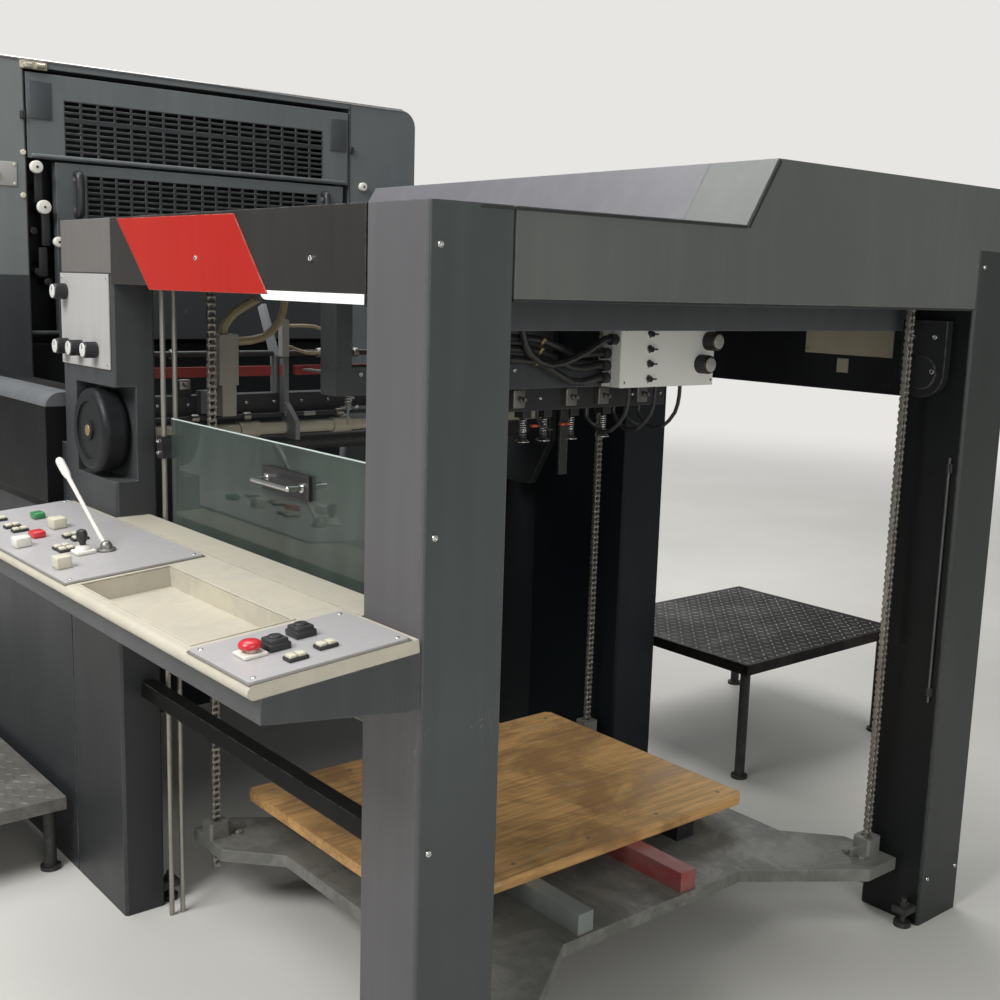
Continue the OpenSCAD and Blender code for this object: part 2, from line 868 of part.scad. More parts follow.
// Two rails along the press with their drops to the crossbar, and the channel behind
// the end beam
module head_rails() {
    color("#35373a") {
        on_both_sides() {
            translate([head_rail_x, post_d, beam_z + rail_drop])
                cube([head_rail_w, end_beam_y - post_d, head_rail_h]);
            translate([head_rail_x, head_bar_y, head_bar_z + head_bar_w])
                cube([head_rail_w, head_bar_w, beam_z + rail_drop - head_bar_z - head_bar_w]);
        }
        // Cross rail that the uppermost hose runs to
        translate([head_rail_x + head_rail_w, top_hose_y - 15, beam_z + rail_drop])
            cube([frame_w - 2 * head_rail_x - 2 * head_rail_w, 30, 10]);
        along_x(post_w, frame_w - 2 * post_w)
            polygon([[post_d, beam_z + 12], [post_d, beam_z - 57],
                [post_d + 60, beam_z - 57], [post_d + 60, beam_z - 53],
                [post_d + 4, beam_z - 53], [post_d + 4, beam_z - 4],
                [post_d + 60, beam_z - 4], [post_d + 60, beam_z],
                [post_d + 4, beam_z], [post_d + 4, beam_z + 12]]);
    }
}

module head_crossbar() {
    color("#3b3e40") {
        translate([head_rail_x, head_bar_y, head_bar_z])
            cube([frame_w - 2 * head_rail_x, head_bar_w, head_bar_w]);
        // Manifold that the hoses run to
        translate([manifold_x, head_bar_y - manifold_out, head_bar_z + head_bar_w])
            cube([manifold_w, head_bar_w + manifold_out, manifold_h]);
    }
}

// Sucker: block, sprung stem and conical cup, hung from the head's underside at Z 0
module sucker(l) {
    translate([-13, -17, -20]) cube([26, 34, 20]);
    translate([0, 0, -l + 12]) cylinder(h = l - 20, d = 8);
    coil(-l + 20, 6, 6, 7, 4);
    translate([0, 0, -l]) cylinder(h = 14, d1 = 36, d2 = 16);
    translate([0, 0, -l + 13]) cylinder(h = 5, d = 20);
}

// Beam of the head with hangers from the crossbar, suckers and a feeler bar
module suction_head() {
    y = head_bar_y + head_bar_w;
    z = head_bar_z - head_h;
    color("#2b2d2f") {
        translate([head_x, y, z]) cube([head_l, head_w, head_h]);
        for (x = [head_x + 20, head_x + head_l / 2, head_x + head_l - 80])
            translate([x, y, head_bar_z]) cube([60, 16, 45]);
        for (x = cup_places)
            translate([x, sucker_y, z]) sucker(z - cup_z);
        translate([1000, sucker_y - 4, z - 170]) cube([26, 8, 170]);
        for (x = [head_x + 60, head_x + 190, head_x + 560])
            translate([x, y + head_w / 2, head_bar_z]) cylinder(h = 26, d = 34);
    }
}

module air_box() {
    color("#cfd0cd") {
        difference() {
            translate([box_x, box_y, box_z]) bevelled_post(box_w, box_t, box_h, 4);
            for (p = air_knob_places)
                translate([box_x + p[0], box_y + 20, box_z + p[1]]) rotate([90, 0, 0])
                    cylinder(h = 21, d = knob_pin_d + 2 * run_gap);
        }
        // Bracket to the crossbar
        translate([box_x + 120, box_y + box_t, head_bar_z + 10])
            cube([80, head_bar_y - box_y - box_t, 40]);
    }
}

module air_knob(i) {
    p = air_knob_places[i];
    color("#1f2022") translate([box_x + p[0], box_y, box_z + p[1]]) rotate([90, 0, 0]) {
        translate([0, 0, knob_gap]) fluted_knob(air_knob_d, air_knob_l, 20);
        translate([0, 0, -18]) cylinder(h = 19 + knob_gap, d = knob_pin_d);
    }
}

// Taps with levers on the air box's face, collars of the hoses on its end
module air_fittings() {
    color("#1f2022") {
        for (z = tap_places)
            translate([box_x + tap_x, box_y, box_z + z]) rotate([90, 0, 0]) {
                cylinder(h = tap_l, d = tap_d);
                translate([0, -2, tap_l - 4]) cube([20, 4, 4]);
            }
        for (i = [0 : 3])
            bar_x(box_x - collar_l, collar_l, i == 3 ? top_hose_y : hose_y,
                box_z + hose_places[i], hose_d + 8);
    }
}

// Point on a smooth curve through the points p at the place t from 0 to 1
function hose_point(p, t) = let (n = len(p) - 1, u = t * n, i = min(floor(u), n - 1),
    f = u - i, a = p[max(i - 1, 0)], b = p[i], c = p[i + 1], d = p[min(i + 2, n)])
    0.5 * (2 * b + (c - a) * f + (2 * a - 5 * b + 4 * c - d) * f * f
        + (3 * b - a - 3 * c + d) * f * f * f);
function unit(v) = v / norm(v);
// Direction of the curve at ring k of n, straight out of both ends
function hose_way(p, pts, k, n) = k == 0 ? unit(p[1] - p[0])
    : k == n ? unit(p[len(p) - 1] - p[len(p) - 2]) : unit(pts[k + 1] - pts[k - 1]);

// Tube of diameter d along the points p; across is a direction the tube never takes
module hose(p, d, rings, across) {
    sides = 8;
    pts = [for (k = [0 : rings]) hose_point(p, k / rings)];
    verts = [for (k = [0 : rings]) let (w = hose_way(p, pts, k, rings),
        u = unit(cross(w, across)), v = cross(w, u))
        for (s = [0 : sides - 1])
            pts[k] + d / 2 * (cos(360 * s / sides) * u + sin(360 * s / sides) * v)];
    faces = concat([[for (s = [0 : sides - 1]) s]],
        [for (k = [0 : rings - 1]) for (s = [0 : sides - 1])
            [k * sides + s, (k + 1) * sides + s, (k + 1) * sides + (s + 1) % sides,
                k * sides + (s + 1) % sides]],
        [[for (s = [sides - 1 : -1 : 0]) rings * sides + s]]);
    polyhedron(points = verts, faces = faces);
}

// Four thick hoses from the air box, three thin loops down to the suction head
module air_hoses() {
    x0 = box_x - collar_l - fit_gap;
    end_x = manifold_x + manifold_w + fit_gap;
    top = head_bar_z + head_bar_w;
    color("#242527") {
        for (i = [0 : 2])
            let (z = box_z + hose_places[i], end_z = top + 14 + 24 * i)
                hose([[x0, hose_y, z], [x0 - 24, hose_y, z], [x0 - 100, hose_y, z - 8 + 4 * i],
                    [x0 - 200, hose_y, end_z - 12 + 3 * i], [end_x + 24, hose_y, end_z],
                    [end_x, hose_y, end_z]], hose_d, 12, [0, 1, 0]);
        // The uppermost one sags, then climbs to the cross rail
        let (z = box_z + hose_places[3], y = top_hose_y)
            hose([[x0, y, z], [x0 - 24, y, z], [x0 - 100, y, z - 36], [x0 - 190, y, z - 58],
                [x0 - 258, y, z - 30], [x0 - 286, y, z + 30], [x0 - 290, y, z + 90],
                [x0 - 290, y, beam_z + rail_drop - fit_gap]], hose_d, 16, [0, 1, 0]);
        for (x = loop_places)
            let (px = box_x + x, z = head_bar_z - head_h)
                hose([[px, hose_y, box_z - fit_gap], [px, hose_y, box_z - 30],
                    [px - 4, hose_y + 8, z - 12], [px - 8, hose_y + 48, z - 54],
                    [px - 12, sucker_y - 34, z - 56], [px - 15, sucker_y, z - 22],
                    [px - 15, sucker_y, z - fit_gap]], loop_d, 12, [1, 0, 0]);
    }
}

// Side plates of the infeed, cut away at their lower front corner
module infeed_cheeks() {
    y = end_beam_y + 10;
    z = cheek_top - cheek_h;
    color("#33363a") for (x = [column_t, frame_w - post_w - cheek_t])
        along_x(x, cheek_t)
            polygon([[y, z + 150], [y + 90, z], [y + cheek_l, z],
                [y + cheek_l, cheek_top - 70], [y + cheek_l - 60, cheek_top],
                [y, cheek_top]]);
}

// Bars, rollers and small works between the cheeks
module infeed_bars() {
    x0 = column_t + cheek_t;
    w = frame_w - post_w - cheek_t - x0;
    y = infeed_y;
    z = cheek_top - 190;
    beam_y = y + 48;
    beam_top = z - 50;
    color("#8c2a2c") {
        translate([x0, y + 28, z]) cube([440, 14, 26]);
        translate([x0 + 515, y + 28, z]) cube([w - 515, 14, 26]);
    }
    color("#2d2f31") {
        translate([x0, beam_y, beam_top - 45]) cube([w, 50, 45]);
        bar_x(x0, w, y + 70, z + 58, 16);
        bar_x(x0, w, y + 60, z - 190, 46);
        bar_x(x0, w, y + 10, z - 105, 12);
        for (x = [x0 + 60, x0 + 180, x0 + 660, x0 + 800, x0 + 960, x0 + 1180])
            translate([x, y + 52, beam_top]) cube([38, 34, 40]);
    }
    color("#c9c4b2") {
        bar_x(x0, w, y + 10, z - 140, 34);
        // Sleeves on the roller
        for (x = [x0 + 90, x0 + 330, x0 + 620, x0 + 980])
            bar_x(x, 60, y + 10, z - 140, 42);
    }
    color("#83868a") {
        // Arm that stands before the beam
        along_x(arm_x, arm_t)
            polygon([[beam_y, z + 50], [beam_y - 30, z + 50], [beam_y - 30, z - 70],
                [beam_y - 90, z - 120], [beam_y - 90, z - 170], [beam_y - 40, z - 170],
                [beam_y, z - 95]]);
        // Slanting stay behind it
        along_x(arm_x - 6, arm_t)
            polygon([[beam_y + 6, beam_top], [beam_y + 36, beam_top],
                [beam_y + 38, z + 46], [beam_y + 108, z + 180], [beam_y + 84, z + 190],
                [beam_y + 8, z + 52]]);
        // Outrigger with a hanging spring
        translate([arm_x + 60, beam_y - 252, z + 12]) cube([22, 240, 6]);
        translate([arm_x + 71, beam_y - 240, z - 116]) {
            cylinder(h = 130, d = 6);
            translate([0, 0, 44]) cylinder(h = 84, d = 10.4);
            coil(50, 9, 8.5, 7, 4);
            translate([0, 0, 40]) cylinder(h = 4, d = 18);
        }
        // Fitting block of the small hose, on the arm's top
        translate([fitting_x - 10, fitting_y - 12, fitting_z]) cube([20, 24, 100]);
        // Box of the ribbed hoses, on a foot to the beam
        translate([hose_box_x - 27, hose_box_y, hose_box_z]) cube([54, 44, hose_box_h]);
        translate([hose_box_x - 20, hose_box_y, beam_top - 45])
            cube([40, 44, hose_box_z - beam_top + 45]);
        translate([hose_box_x - 20, hose_box_y + 44, beam_top - 45])
            cube([40, beam_y - hose_box_y - 44, 45]);
        // Clamps on the front beam
        for (x = [x0 + 230, x0 + 300])
            translate([x, beam_y - 26, beam_top - 45]) cube([34, 26, 60]);
    }
}

// Ribbed suction hoses up to the beam, and the small looped one beside them
module feed_hoses() {
    y = hose_box_y + 20;
    z = hose_box_z + hose_box_h;
    top = beam_z - fit_gap;
    color("#b9a878") {
        hose([[hose_box_x - 4, y, z + fit_gap], [hose_box_x - 4, y, z + 18],
            [hose_box_x + 22, y - 8, z + 56], [hose_box_x + 86, y - 12, z + 92],
            [hose_box_x + 118, y, top - 14], [hose_box_x + 118, y, top]], 24, 10, [0, 1, 0]);
        hose([[hose_box_x + 27 + fit_gap, y, z - 18], [hose_box_x + 42, y, z - 18],
            [hose_box_x + 108, y, z - 8], [hose_box_x + 158, y, z + 34],
            [hose_box_x + 172, y, top - 34], [hose_box_x + 172, y, top]], 22, 10, [0, 1, 0]);
        hose([[fitting_x + 10 + fit_gap, fitting_y, fitting_z + 26],
            [fitting_x + 22, fitting_y, fitting_z + 26], [fitting_x + 70, fitting_y, fitting_z + 10],
            [fitting_x + 118, fitting_y, fitting_z + 12], [fitting_x + 146, fitting_y, fitting_z + 42],
            [fitting_x + 118, fitting_y, fitting_z + 76], [fitting_x + 70, fitting_y, fitting_z + 84],
            [fitting_x + 22, fitting_y, fitting_z + 84],
            [fitting_x + 10 + fit_gap, fitting_y, fitting_z + 84]], 9, 16, [0, 1, 0]);
    }
}

module feed_side_frames() {
    color("#3f454b") on_both_sides()
        translate([0, station_l, 0]) cube([column_t, feed_l, frame_side_h]);
}

// Sheet table that falls towards the printing unit
module feed_table() {
    y = station_l + 155;
    slope = atan(table_drop / (feed_l - 160));
    color("#6b6d6c") translate([column_t, y, frame_side_h - 30]) rotate([-slope, 0, 0]) {
        cube([frame_w - 2 * column_t, (feed_l - 165) / cos(slope), 20]);
        // Tapes' bars on the table
        for (x = [160, 480, 800, 1120])
            translate([x * frame_w / 1500, 10, 20]) cube([60, (feed_l - 185) / cos(slope), 6]);
    }
}

// Rounded hood along the operator side of the feed
module side_hood() {
    crown = frame_side_h + 120 - hood_r;
    color("#4a4e52") along_y(station_l + 25, feed_l - 200)
        polygon(concat([for (a = [180 : -10 : 90])
                [hood_r * cos(a), crown + hood_r * sin(a)]],
            [[column_t, crown + hood_r], [column_t, frame_side_h], [0, frame_side_h],
                [0, frame_side_h - 190], [-hood_r, frame_side_h - 150]]));
}

module unit_core() {
    w = frame_w - cover_w - drive_cover_w;
    color("#32363a") difference() {
        translate([cover_w, guard_y + guard_t + 15, 0])
            cube([w, unit_l - guard_t - 15, unit_h - top_t]);
        // Recess behind the guards
        translate([cover_w - 1, guard_y + guard_t, lower_guard_z - 16])
            cube([w + 2, 60, unit_h]);
    }
}

// Side cover of width w with a rounded upper outer edge, its outer face at X 0
module side_cover(w) {
    difference() {
        along_y(unit_y, unit_l)
            polygon(concat([[w, 0], [0, 0]],
                [for (a = [180 : -10 : 90])
                    [cover_r + cover_r * cos(a), unit_h - cover_r + cover_r * sin(a)]],
                [[w, unit_h]]));
        for (z = [upper_pin_z, lower_pin_z])
            bar_x(w - pin_seat - 0.3, pin_seat + 1, pin_y, z, pin_d + 2 * run_gap);
        // Seams between the cover's panels
        translate([-1, unit_y - 1, 1180]) cube([w - 40, groove + 1, groove]);
        translate([-1, unit_y - 1, 1180]) cube([groove + 1, unit_l + 2, groove]);
        translate([-1, unit_y + unit_l / 2, 60]) cube([groove + 1, groove, unit_h - 240]);
    }
}

module unit_operator_cover() {
    color("#4d555c") side_cover(cover_w);
}

module unit_drive_cover() {
    color("#4a5355") translate([frame_w, 0, 0]) mirror([1, 0, 0]) side_cover(drive_cover_w);
}

module unit_top() {
    color("#3c4146") translate([cover_w, unit_y, unit_h - top_t])
        cube([frame_w - cover_w - drive_cover_w, unit_l, top_t]);
}

// Field of grille openings in X and Z, w wide, with one wider gap after gap_row rows
module grille_holes(w, rows, gap_row) {
    pitch_x = w / grille_columns;
    for (i = [0 : grille_columns - 1])
        for (j = [0 : rows - 1])
            translate([i * pitch_x, j * 18 + (j >= gap_row ? 8 : 0)])
                square([pitch_x - 8, 11]);
}

// Folded pan of a guard from x for a width w: face sheet, edges, grille
module guard_pan(x, w, z, h, hole_x, hole_w, hole_z, rows, gap_row) {
    difference() {
        translate([x, guard_y, z]) cube([w, guard_t, h]);
        translate([x + guard_sheet, guard_y + guard_sheet, z + guard_sheet])
            cube([w - 2 * guard_sheet, guard_t, h - 2 * guard_sheet]);
        along_y(guard_y - 1, guard_sheet + 2)
            translate([hole_x, hole_z]) grille_holes(hole_w, rows, gap_row);
    }
}

module upper_guard() {
    z = upper_pin_z;
    color("#454b50") {
        guard_pan(guard_x, guard_w, upper_guard_z, upper_guard_h, guard_x + 118,
            guard_w - 218, upper_guard_z + 14, 9, 6);
        bar_x(cover_w - pin_seat, guard_gap + pin_seat + 2, pin_y, z, pin_d);
        bar_x(guard_x + guard_w - 2, guard_gap + pin_seat + 2, pin_y, z, pin_d);
    }
}

// Bow grip of the lower guard, its bar standing off the face
module guard_bow(x) {
    z = lower_guard_z + lower_guard_h - 154;
    for (end = [0, 100])
        translate([x, guard_y - 20, z + end]) cube([20, 20, 20]);
    translate([x, guard_y - 26, z]) cube([20, 7, 120]);
}

module lower_guard() {
    x = guard_x + lower_in;
    w = guard_w - lower_in - lower_in2;
    color("#41474c") {
        guard_pan(x, w, lower_guard_z, lower_guard_h, x + 100, w - 200,
            lower_guard_z + lower_guard_h - 190, 9, 20);
        bar_x(cover_w - pin_seat, lower_in + guard_gap + pin_seat + 2, pin_y, lower_pin_z, pin_d);
        bar_x(x + w - 2, lower_in2 + guard_gap + pin_seat + 2, pin_y, lower_pin_z, pin_d);
        guard_bow(x + 56);
        guard_bow(x + w - 90);
    }
}

// Tread plate with a turned-down edge all round
module footboard(x, y, z, w, l) {
    edge = 4;
    difference() {
        translate([x, y, z - tread_lip]) cube([w, l, tread_lip]);
        translate([x + edge, y + edge, z - tread_lip - 1])
            cube([w - 2 * edge, l - 2 * edge, tread_lip - tread_t + 1]);
    }
}

// Tubular legs up to the plate, each on a wider foot
module footboard_legs(x, y, z, w, l, rows) {
    for (px = [x + 34, x + w - 34])
        for (py = [for (i = [0 : rows - 1]) y + 34 + i * (l - 68) / (rows - 1)])
            translate([px, py, 0]) {
                cylinder(h = z - tread_t, d = 32);
                cylinder(h = 10, d = 52);
            }
}

module operator_step() {
    color("#5c5c5a")
        footboard(-step_w - step_gap, station_l + step_gap, step_h, step_w,
            total_l - station_l - step_gap);
}

module drive_step() {
    color("#6a6963") footboard(frame_w + bench_gap, bench_y, bench_h, bench_w, bench_l);
}

place() near_post();
place() right_post();
place() operator_column();
place() drive_column();
place() end_beam();
place() operator_beam();
place() drive_beam();
place() unit_end_beam();
place() roof_cover();
place() lift_chains();
place() chain_brackets();
place() floor_feet();
place() window_sill();
place() guard_rods();
place() glass_pane();
place() guard_handle();
place() guard_grip();
place() safety_bar();
place() desk_top();
place() desk_tray();
place() desk_trough();
place() desk_consoles();
place() desk_buttons();
place() desk_wand();
place() column_panel();
place() column_knob(0);  // column_knob_1
place() column_knob(1);  // column_knob_2
place() column_knob(2);  // column_knob_3
place() column_knob(3);  // column_knob_4
place() handwheel();
place() red_plate();
place() drive_plate();
place() strip_lamp();
place() lift_platform();
place() pile_board();
place() board_rails();
place() red_rail();
place() head_rails();
place() head_crossbar();
place() suction_head();
place() air_box();
place() air_knob(0);  // air_knob_1
place() air_knob(1);  // air_knob_2
place() air_fittings();
place() air_hoses();
place() infeed_cheeks();
place() infeed_bars();
place() feed_hoses();
place() feed_side_frames();
place() feed_table();
place() side_hood();
place() unit_core();
place() unit_operator_cover();
place() unit_drive_cover();
place() unit_top();
place() upper_guard();
place() lower_guard();
place() operator_step();
place() drive_step();
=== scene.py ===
"""Looks of an offset press's pile station and its printing unit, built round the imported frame.

Lengths are metres. X runs from the operator side to the drive side, Y from the open end of
the pile station towards the printing unit, and Z up. The origin is on the floor under the
middle of the press.
"""
import json
import logging
import math
from collections.abc import Sequence
from dataclasses import dataclass, field
from enum import Enum
from itertools import product

import bpy
import numpy as np
from mathutils import Matrix, Vector


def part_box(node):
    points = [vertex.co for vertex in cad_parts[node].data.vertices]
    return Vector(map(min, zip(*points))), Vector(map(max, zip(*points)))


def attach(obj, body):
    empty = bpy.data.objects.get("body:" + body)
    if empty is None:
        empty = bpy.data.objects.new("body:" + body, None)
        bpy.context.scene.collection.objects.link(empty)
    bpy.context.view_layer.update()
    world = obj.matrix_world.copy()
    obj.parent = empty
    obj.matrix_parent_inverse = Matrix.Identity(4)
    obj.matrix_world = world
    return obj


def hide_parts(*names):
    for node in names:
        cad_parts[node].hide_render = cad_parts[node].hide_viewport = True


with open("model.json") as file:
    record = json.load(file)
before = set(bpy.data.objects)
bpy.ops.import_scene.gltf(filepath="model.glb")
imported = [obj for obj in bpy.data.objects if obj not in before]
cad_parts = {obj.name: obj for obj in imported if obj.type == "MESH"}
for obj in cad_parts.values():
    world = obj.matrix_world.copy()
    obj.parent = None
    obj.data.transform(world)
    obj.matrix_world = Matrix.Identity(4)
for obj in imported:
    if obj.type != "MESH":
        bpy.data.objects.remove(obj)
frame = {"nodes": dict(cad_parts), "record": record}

LOG = logging.getLogger("press")

Pair = tuple[float, float]
Triple = tuple[float, float, float]
Quad = tuple[float, float, float, float]
# Radii and heights of a turned piece, from its foot up
Profile = tuple[Pair, ...]


class Slot(Enum):
    """The record's material slots, by the finish that each one holds."""

    FRAME = "frame_paint"
    DARK = "dark_paint"
    ROOF = "roof_paint"
    CHAIN = "chain_steel"
    CHROME = "chrome_rod"
    GLASS = "guard_glass"
    BLACK = "black_plastic"
    LAMINATE = "desk_laminate"
    CONSOLE = "console_metal"
    BUTTON = "button_plastic"
    WHITE = "white_plastic"
    PANEL = "panel_paint"
    RED = "red_enamel"
    CREAM = "cream_plate"
    LAMP = "lamp_white"
    PLATFORM = "platform_paint"
    WOOD = "board_wood"
    RAIL = "rail_paint"
    RED_RAIL = "red_rail_paint"
    INNER = "dark_metal"
    HOSE = "hose_rubber"
    RIBBED = "ribbed_hose"
    UNIT = "unit_paint"
    TREAD = "tread_metal"
    FOOT = "leg_rubber"


class Shade:
    """A shader value that takes part in Python arithmetic by adding Math nodes."""

    def __init__(self, box: "Paintbox", socket: bpy.types.NodeSocket) -> None:
        """Wraps one output socket.

        Args:
            box: The material that the socket belongs to.
            socket: The output socket.
        """
        self.box = box
        self.socket = socket

    def _math(self, operation: str, first: object, second: object) -> "Shade":
        """Adds one Math node.

        Args:
            operation: The Math node's operation.
            first: The first value, a number or a Shade.
            second: The second value, a number or a Shade.

        Returns:
            The result as a Shade.
        """
        return self.box.out("ShaderNodeMath", {"operation": operation}, {0: first, 1: second})

    def __add__(self, other: object) -> "Shade":
        """This value plus another."""
        return self._math("ADD", self, other)

    def __radd__(self, other: object) -> "Shade":
        """Another value plus this."""
        return self._math("ADD", other, self)

    def __sub__(self, other: object) -> "Shade":
        """This value less another."""
        return self._math("SUBTRACT", self, other)

    def __rsub__(self, other: object) -> "Shade":
        """Another value less this."""
        return self._math("SUBTRACT", other, self)

    def __mul__(self, other: object) -> "Shade":
        """This value times another."""
        return self._math("MULTIPLY", self, other)

    def __rmul__(self, other: object) -> "Shade":
        """Another value times this."""
        return self._math("MULTIPLY", other, self)

    def __truediv__(self, other: object) -> "Shade":
        """This value over another."""
        return self._math("DIVIDE", self, other)

    def __pow__(self, other: object) -> "Shade":
        """This value to a power."""
        return self._math("POWER", self, other)

    def least(self, other: object) -> "Shade":
        """The smaller of this and another value."""
        return self._math("MINIMUM", self, other)

    def most(self, other: object) -> "Shade":
        """The larger of this and another value."""
        return self._math("MAXIMUM", self, other)

    def step(self, low: float, high: float) -> "Shade":
        """A smooth step of this value.

        Args:
            low: The value at and below which the result is 0.
            high: The value at and above which the result is 1.

        Returns:
            The smooth step from 0 to 1.
        """
        settings = {"interpolation_type": "SMOOTHSTEP"}
        return self.box.out("ShaderNodeMapRange", settings, {0: self, 1: low, 2: high, 3: 0.0, 4: 1.0})


class Paintbox:
    """One material and the nodes that are added to it."""

    def __init__(self, name: str) -> None:
        """Starts an empty material.

        Args:
            """
        self.material = bpy.data.materials.new(name)
        self.material.use_nodes = True
        self.tree = self.material.node_tree
        self.tree.nodes.clear()
        self.final = self.tree.nodes.new("ShaderNodeOutputMaterial")
        self._rounded: dict[float, Shade] = {}

    def node(self, kind: str, settings: dict, sockets: dict) -> bpy.types.Node:
        """Adds one node.

        Args:
            kind: The node's type name.
            settings: Values of the node's own properties, and "stops" for a ramp.
            sockets: Numbers, colours, Shades or sockets for its inputs, by name or number.

        Returns:
            The new node.
        """
        made = self.tree.nodes.new(kind)
        for key, value in settings.items():
            if key == "stops":
                self._stops(made.color_ramp, value)
            else:
                setattr(made, key, value)
        for key, value in sockets.items():
            target = made.inputs[key]
            if isinstance(value, Shade):
                self.tree.links.new(value.socket, target)
            elif isinstance(value, bpy.types.NodeSocket):
                self.tree.links.new(value, target)
            else:
                target.default_value = value
        return made

    @staticmethod
    def _stops(ramp: bpy.types.ColorRamp, stops: Sequence[tuple[float, Triple]]) -> None:
        """Sets a ramp's stops.

        Args:
            ramp: The ramp.
            stops: Places from 0 to 1, each with its colour.
        """
        while len(ramp.elements) < len(stops):
            ramp.elements.new(0.5)
        for element, (place, colour) in zip(ramp.elements, stops):
            element.position = place
            element.color = (*colour, 1.0)

    def out(self, kind: str, settings: dict, sockets: dict, output: int | str = 0) -> Shade:
        """Adds one node and gives one of its outputs.

        Args:
            kind: The node's type name.
            settings: Values of the node's own properties.
            sockets: Values or links of its inputs.
            output: The output's name or number.

        Returns:
            That output as a Shade.
        """
        return Shade(self, self.node(kind, settings, sockets).outputs[output])

    def place(self, stretch: Triple = (1.0, 1.0, 1.0), turn: Triple = (0.0, 0.0, 0.0)) -> Shade:
        """Object coordinates in metres, stretched and turned.

        Args:
            stretch: Factors on X, Y and Z.
            turn: Turns about X, Y and Z in radians.

        Returns:
            The coordinates as a Shade.
        """
        spot = self.out("ShaderNodeTexCoord", {}, {}, "Object")
        if stretch == (1.0, 1.0, 1.0) and turn == (0.0, 0.0, 0.0):
            return spot
        return self.out("ShaderNodeMapping", {}, {"Vector": spot, "Scale": stretch, "Rotation": turn})

    def noise(
        self,
        scale: float,
        detail: float = 3.0,
        rough: float = 0.55,
        stretch: Triple = (1.0, 1.0, 1.0),
        warp: float = 0.0,
    ) -> Shade:
        """Fractal noise over the object.

        Args:
            scale: Cells in a metre.
            detail: Octaves of finer noise.
            rough: Share of each finer octave.
            stretch: Factors on X, Y and Z before the noise.
            warp: How far the noise bends itself.

        Returns:
            The noise, near 0 to 1.
        """
        sockets = {
            "Vector": self.place(stretch),
            "Scale": scale,
            "Detail": detail,
            "Roughness": rough,
            "Distortion": warp,
        }
        return self.out("ShaderNodeTexNoise", {}, sockets)

    def cells(self, scale: float, stretch: Triple = (1.0, 1.0, 1.0), feature: str = "F1") -> Shade:
        """Distance to the nearest of a field of scattered points, in cells."""
        sockets = {"Vector": self.place(stretch), "Scale": scale}
        return self.out("ShaderNodeTexVoronoi", {"feature": feature}, sockets)

    def part(self, vector: Shade, axis: str) -> Shade:
        """One coordinate of a vector, by its letter."""
        return self.out("ShaderNodeSeparateXYZ", {}, {0: vector}, axis)

    def blend(self, share: object, first: object, second: object) -> Shade:
        """A mix of two colours.

        Args:
            share: 0 for the first colour to 1 for the second.
            first: A colour, or a Shade that carries one.
            second: A colour, or a Shade that carries one.

        Returns:
            The mixed colour.
        """
        made = self.node("ShaderNodeMix", {"data_type": "RGBA"}, {0: share})
        for number, value in ((6, first), (7, second)):
            if isinstance(value, Shade):
                self.tree.links.new(value.socket, made.inputs[number])
            else:
                made.inputs[number].default_value = (*value, 1.0)
        return Shade(self, made.outputs[2])

    def rounded(self, radius: float) -> Shade:
        """The normal with edges rounded, made once for a radius.

        Args:
            radius: The edges' radius in metres.

        Returns:
            The normal.
        """
        if radius not in self._rounded:
            self._rounded[radius] = self.out("ShaderNodeBevel", {"samples": 4}, {"Radius": radius})
        return self._rounded[radius]

    def edge(self, radius: float, low: float = 0.02, high: float = 0.22) -> Shade:
        """A mask of outer edges: how far a rounded normal leaves the true one.

        Args:
            radius: Width of the edge in metres.
            low: Departure at which the mask starts.
            high: Departure at which it is full.

        Returns:
            1 on edges and 0 on flats.
        """
        true = self.out("ShaderNodeNewGeometry", {}, {}, "Normal")
        both = {0: self.rounded(radius), 1: true}
        dot = self.out("ShaderNodeVectorMath", {"operation": "DOT_PRODUCT"}, both, "Value")
        return (1.0 - dot).step(low, high)

    def inside(self, low: Triple, high: Triple) -> Shade:
        """A mask of a box in object coordinates.

        Args:
            low: The box's lowest corner.
            high: The box's highest corner.

        Returns:
            1 inside the box and 0 outside it.
        """
        spot = self.place()
        mask: object = 1.0
        for axis, first, last in zip("XYZ", low, high):
            value = self.part(spot, axis)
            above = self._compare("GREATER_THAN", value, first)
            below = self._compare("LESS_THAN", value, last)
            mask = above * below * mask
        return mask

    def _compare(self, operation: str, value: Shade, limit: float) -> Shade:
        """Adds a Math node that compares a value with a limit."""
        return self.out("ShaderNodeMath", {"operation": operation}, {0: value, 1: limit})

    def facing_up(self) -> Shade:
        """How far the surface faces up, from 0 to 1."""
        normal = self.out("ShaderNodeNewGeometry", {}, {}, "Normal")
        return self.part(normal, "Z").most(0.0)

    def relief(self, height: Shade, depth: float, radius: float = 0.0) -> Shade:
        """A normal bent by a height.

        Args:
            height: The height, 0 to 1.
            depth: What a height of 1 measures in metres.
            radius: Radius that edges are rounded by, or 0 to leave them.

        Returns:
            The normal.
        """
        sockets: dict = {"Height": height, "Distance": depth, "Strength": 1.0}
        if radius:
            sockets["Normal"] = self.rounded(radius)
        return self.out("ShaderNodeBump", {}, sockets)

    def surface(self, sockets: dict) -> bpy.types.Material:
        """Ends the material in one Principled shader.

        Args:
            sockets: Values or links of its inputs, where a plain colour has three numbers.

        Returns:
            The material.
        """
        ready = {}
        for key, value in sockets.items():
            plain = isinstance(value, tuple) and len(value) == 3
            ready[key] = (*value, 1.0) if plain else value
        shader = self.node("ShaderNodeBsdfPrincipled", {}, ready)
        self.tree.links.new(shader.outputs[0], self.final.inputs["Surface"])
        return self.material


